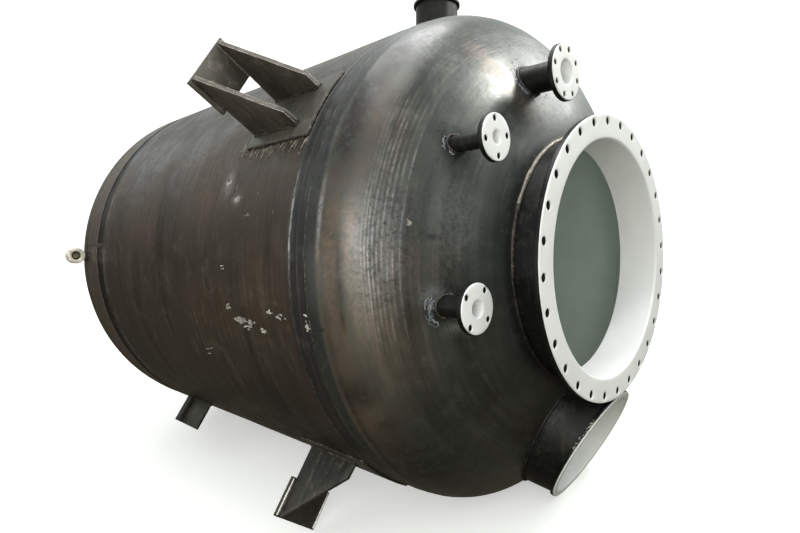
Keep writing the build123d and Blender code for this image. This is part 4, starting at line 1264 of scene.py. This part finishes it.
view = Vector((-back.x, -back.y, 0)).normalized()
side = Vector((view.y, -view.x, 0))
prof = [(-14.0, 0.0), (-6.0, 0.0), (0.0, 0.0), (6.0, 0.0), (9.0, 0.0)]
for a in range(8, 91, 7):
    prof.append((9.0 + 5.0 * math.sin(math.radians(a)), 5.0 - 5.0 * math.cos(math.radians(a))))
prof += [(14.0, 9.0), (14.0, 16.0)]
V, F = [], []
ws = np.linspace(-22, 22, 15)
for d_, h_ in prof:
    for w_ in ws:
        p = Vector((CAM.x, CAM.y, 0)) + view * d_ + side * float(w_)
        V.append((p.x * 1000, p.y * 1000, -1115.8 + h_ * 1000))
F = grid_faces(len(prof), len(ws), closed=False)
fm = Mat("pale_floor", 0, 1.45, .15)
fn = fm.noise(fm.co, 1.2, 3, .5)
sep = fm.t.nodes.new("ShaderNodeSeparateXYZ")
fm.t.links.new(fm.co, sep.inputs[0])
away = fm.math("SQRT", fm.math("ADD", fm.math("POWER", fm.math("ADD", sep.outputs[0], 1.2), 2.0), fm.math("POWER", sep.outputs[1], 2.0)))
# the floor glows, weaker near the vessel and stronger further off: painted light on the floor
fm.b.inputs["Emission Color"].default_value = (1, 1, .98, 1)
fm.t.links.new(fm.step(away, 1.4, 4.6, .42, .80), fm.b.inputs["Emission Strength"])
FLOOR = fm.set(fm.mix(fn, lin((238, 239, 236)), lin((243, 243, 241))), .85, fm.bump(fm.noise(fm.co, 60, 3, .5), .0006, .1))
me = bpy.data.meshes.new("floor")
me.from_pydata([tuple(q * MM for q in v) for v in V], [], [tuple(int(i) for i in f) for f in F])
me.materials.append(FLOOR)
me.polygons.foreach_set("use_smooth", np.ones(len(me.polygons), bool))
floor = bpy.data.objects.new("floor", me)
bpy.context.scene.collection.objects.link(floor)

# plain white backdrop all round, so that every side is seen against the same pale ground
import bmesh
bm = bmesh.new()
bmesh.ops.create_icosphere(bm, subdivisions=4, radius=40.0)
me = bpy.data.meshes.new("backdrop")
bm.to_mesh(me)
bm.free()
bmat = bpy.data.materials.new("backdrop_white")
bmat.use_nodes = True
bp_ = bmat.node_tree.nodes["Principled BSDF"]
bp_.inputs["Base Color"].default_value = (0, 0, 0, 1)
bp_.inputs["Roughness"].default_value = 1.0
bp_.inputs["Specular IOR Level"].default_value = 0.0
bp_.inputs["Emission Color"].default_value = (1, 1, .99, 1)
bp_.inputs["Emission Strength"].default_value = 1.0
me.materials.append(bmat)
backdrop = bpy.data.objects.new("backdrop", me)
bpy.context.scene.collection.objects.link(backdrop)
for k_ in ("visible_diffuse", "visible_glossy", "visible_transmission", "visible_volume_scatter", "visible_shadow"):
    setattr(backdrop, k_, False)

world = bpy.data.worlds.new("studio")
bpy.context.scene.world = world
world.use_nodes = True
wt = world.node_tree
bg = wt.nodes["Background"]
wco = wt.nodes.new("ShaderNodeTexCoord")


def w_dot(direction, a, b, lo, hi):
    """brightness of the studio's room, by direction: soft white overhead, dark below"""
    n = wt.nodes.new("ShaderNodeVectorMath")
    n.operation = "DOT_PRODUCT"
    wt.links.new(wco.outputs["Generated"], n.inputs[0])
    n.inputs[1].default_value = direction
    m_ = wt.nodes.new("ShaderNodeMapRange")
    m_.interpolation_type = "SMOOTHSTEP"
    wt.links.new(n.outputs["Value"], m_.inputs["Value"])
    for k_, q_ in (("From Min", a), ("From Max", b), ("To Min", lo), ("To Max", hi)):
        m_.inputs[k_].default_value = q_
    return m_.outputs["Result"]


def w_add(a, b):
    n = wt.nodes.new("ShaderNodeMath")
    wt.links.new(a, n.inputs[0])
    wt.links.new(b, n.inputs[1])
    return n.outputs[0]


glow = w_add(w_dot((0.0, 0.2, 0.98), 0.0, 0.50, 0.11, 0.90), w_dot((0.80, -0.58, 0.05), 0.35, 0.98, 0.0, 0.20))
wm = wt.nodes.new("ShaderNodeMix")
wm.data_type = "RGBA"
wt.links.new(w_dot((0.0, 0.2, 0.98), -0.25, 0.35, 0.0, 1.0), wm.inputs[0])
wm.inputs[6].default_value = (1.0, 0.95, 0.70, 1)
wm.inputs[7].default_value = (0.94, 1.0, 0.98, 1)
wt.links.new(wm.outputs[2], bg.inputs[0])
wt.links.new(glow, bg.inputs[1])
floor.visible_diffuse = False
floor.visible_glossy = False


def area(name, loc, target, sx, sy, watts, color=(1, 1, 1)):
    li = bpy.data.lights.new(name, "AREA")
    li.shape = "RECTANGLE"
    li.size, li.size_y, li.energy, li.color = sx, sy, watts, color
    o = bpy.data.objects.new(name, li)
    bpy.context.scene.collection.objects.link(o)
    o.location = loc
    o.rotation_euler = (Vector(target) - Vector(loc)).to_track_quat("-Z", "Y").to_euler()
    return o


area("key_top", (-1.0, 0.2, 4.8), (-1.3, -0.1, 0), 5.0, 3.0, 215)
area("front_fill", (1.15, -3.4, 1.05), (-0.4, -0.3, 0.0), 2.0, 1.9, 52, (1.0, .99, .95))
area("left_fill", (-2.6, -4.6, 0.6), (-1.6, 0, -0.1), 2.6, 1.6, 26, (1.0, .97, .90))
area("right_back", (1.1, 3.9, 2.6), (-0.2, 0, 0.5), 2.4, 1.5, 55, (1.0, 1.0, .95))
area("inside", (-1.2, -0.55, 0.55), (-3.2, 0.5, -0.2), 0.5, 0.5, 4.2)
area("low_fill", (1.6, -3.4, -0.6), (-0.5, -0.6, -0.6), 1.8, 0.9, 12, (1.0, .94, .76))
area("key_small", (1.3, 1.9, 2.7), (-0.3, -0.4, 0.5), 0.55, 0.55, 70, (1.0, 1.0, .96))

cam_d = bpy.data.cameras.new("camera")
cam_d.sensor_width = 36.0
cam_d.sensor_fit = "HORIZONTAL"
cam_d.lens = 24.6454
cam_d.clip_start, cam_d.clip_end = 0.05, 100
cam = bpy.data.objects.new("camera", cam_d)
bpy.context.scene.collection.objects.link(cam)
cam.matrix_world = Matrix(((right.x, up.x, back.x, CAM.x), (right.y, up.y, back.y, CAM.y),
                           (right.z, up.z, back.z, CAM.z), (0, 0, 0, 1)))
bpy.context.scene.camera = cam
bpy.context.scene.view_settings.view_transform = "Standard"

# bead, spatter and fleck meshes are finer than they need to be, so they are thinned
for o_ in [q for q in bpy.data.objects if q.type == "MESH" and q.name not in set(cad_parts) and q.name not in ("floor", "backdrop")]:
    t_ = len(o_.data.loops) - 2 * len(o_.data.polygons)
    if t_ > 30000 and any(k_ in o_.name for k_ in ("weld", "spat", "fleck", "thread", "edges", "bead", "pale", "burr", "chip")):
        o_.modifiers.new("thin", "DECIMATE").ratio = .62
        thin = bpy.data.meshes.new_from_object(o_.evaluated_get(bpy.context.evaluated_depsgraph_get()))
        o_.modifiers.clear()
        o_.data = thin
        print("THINNED", o_.name, t_, len(thin.loops) - 2 * len(thin.polygons))
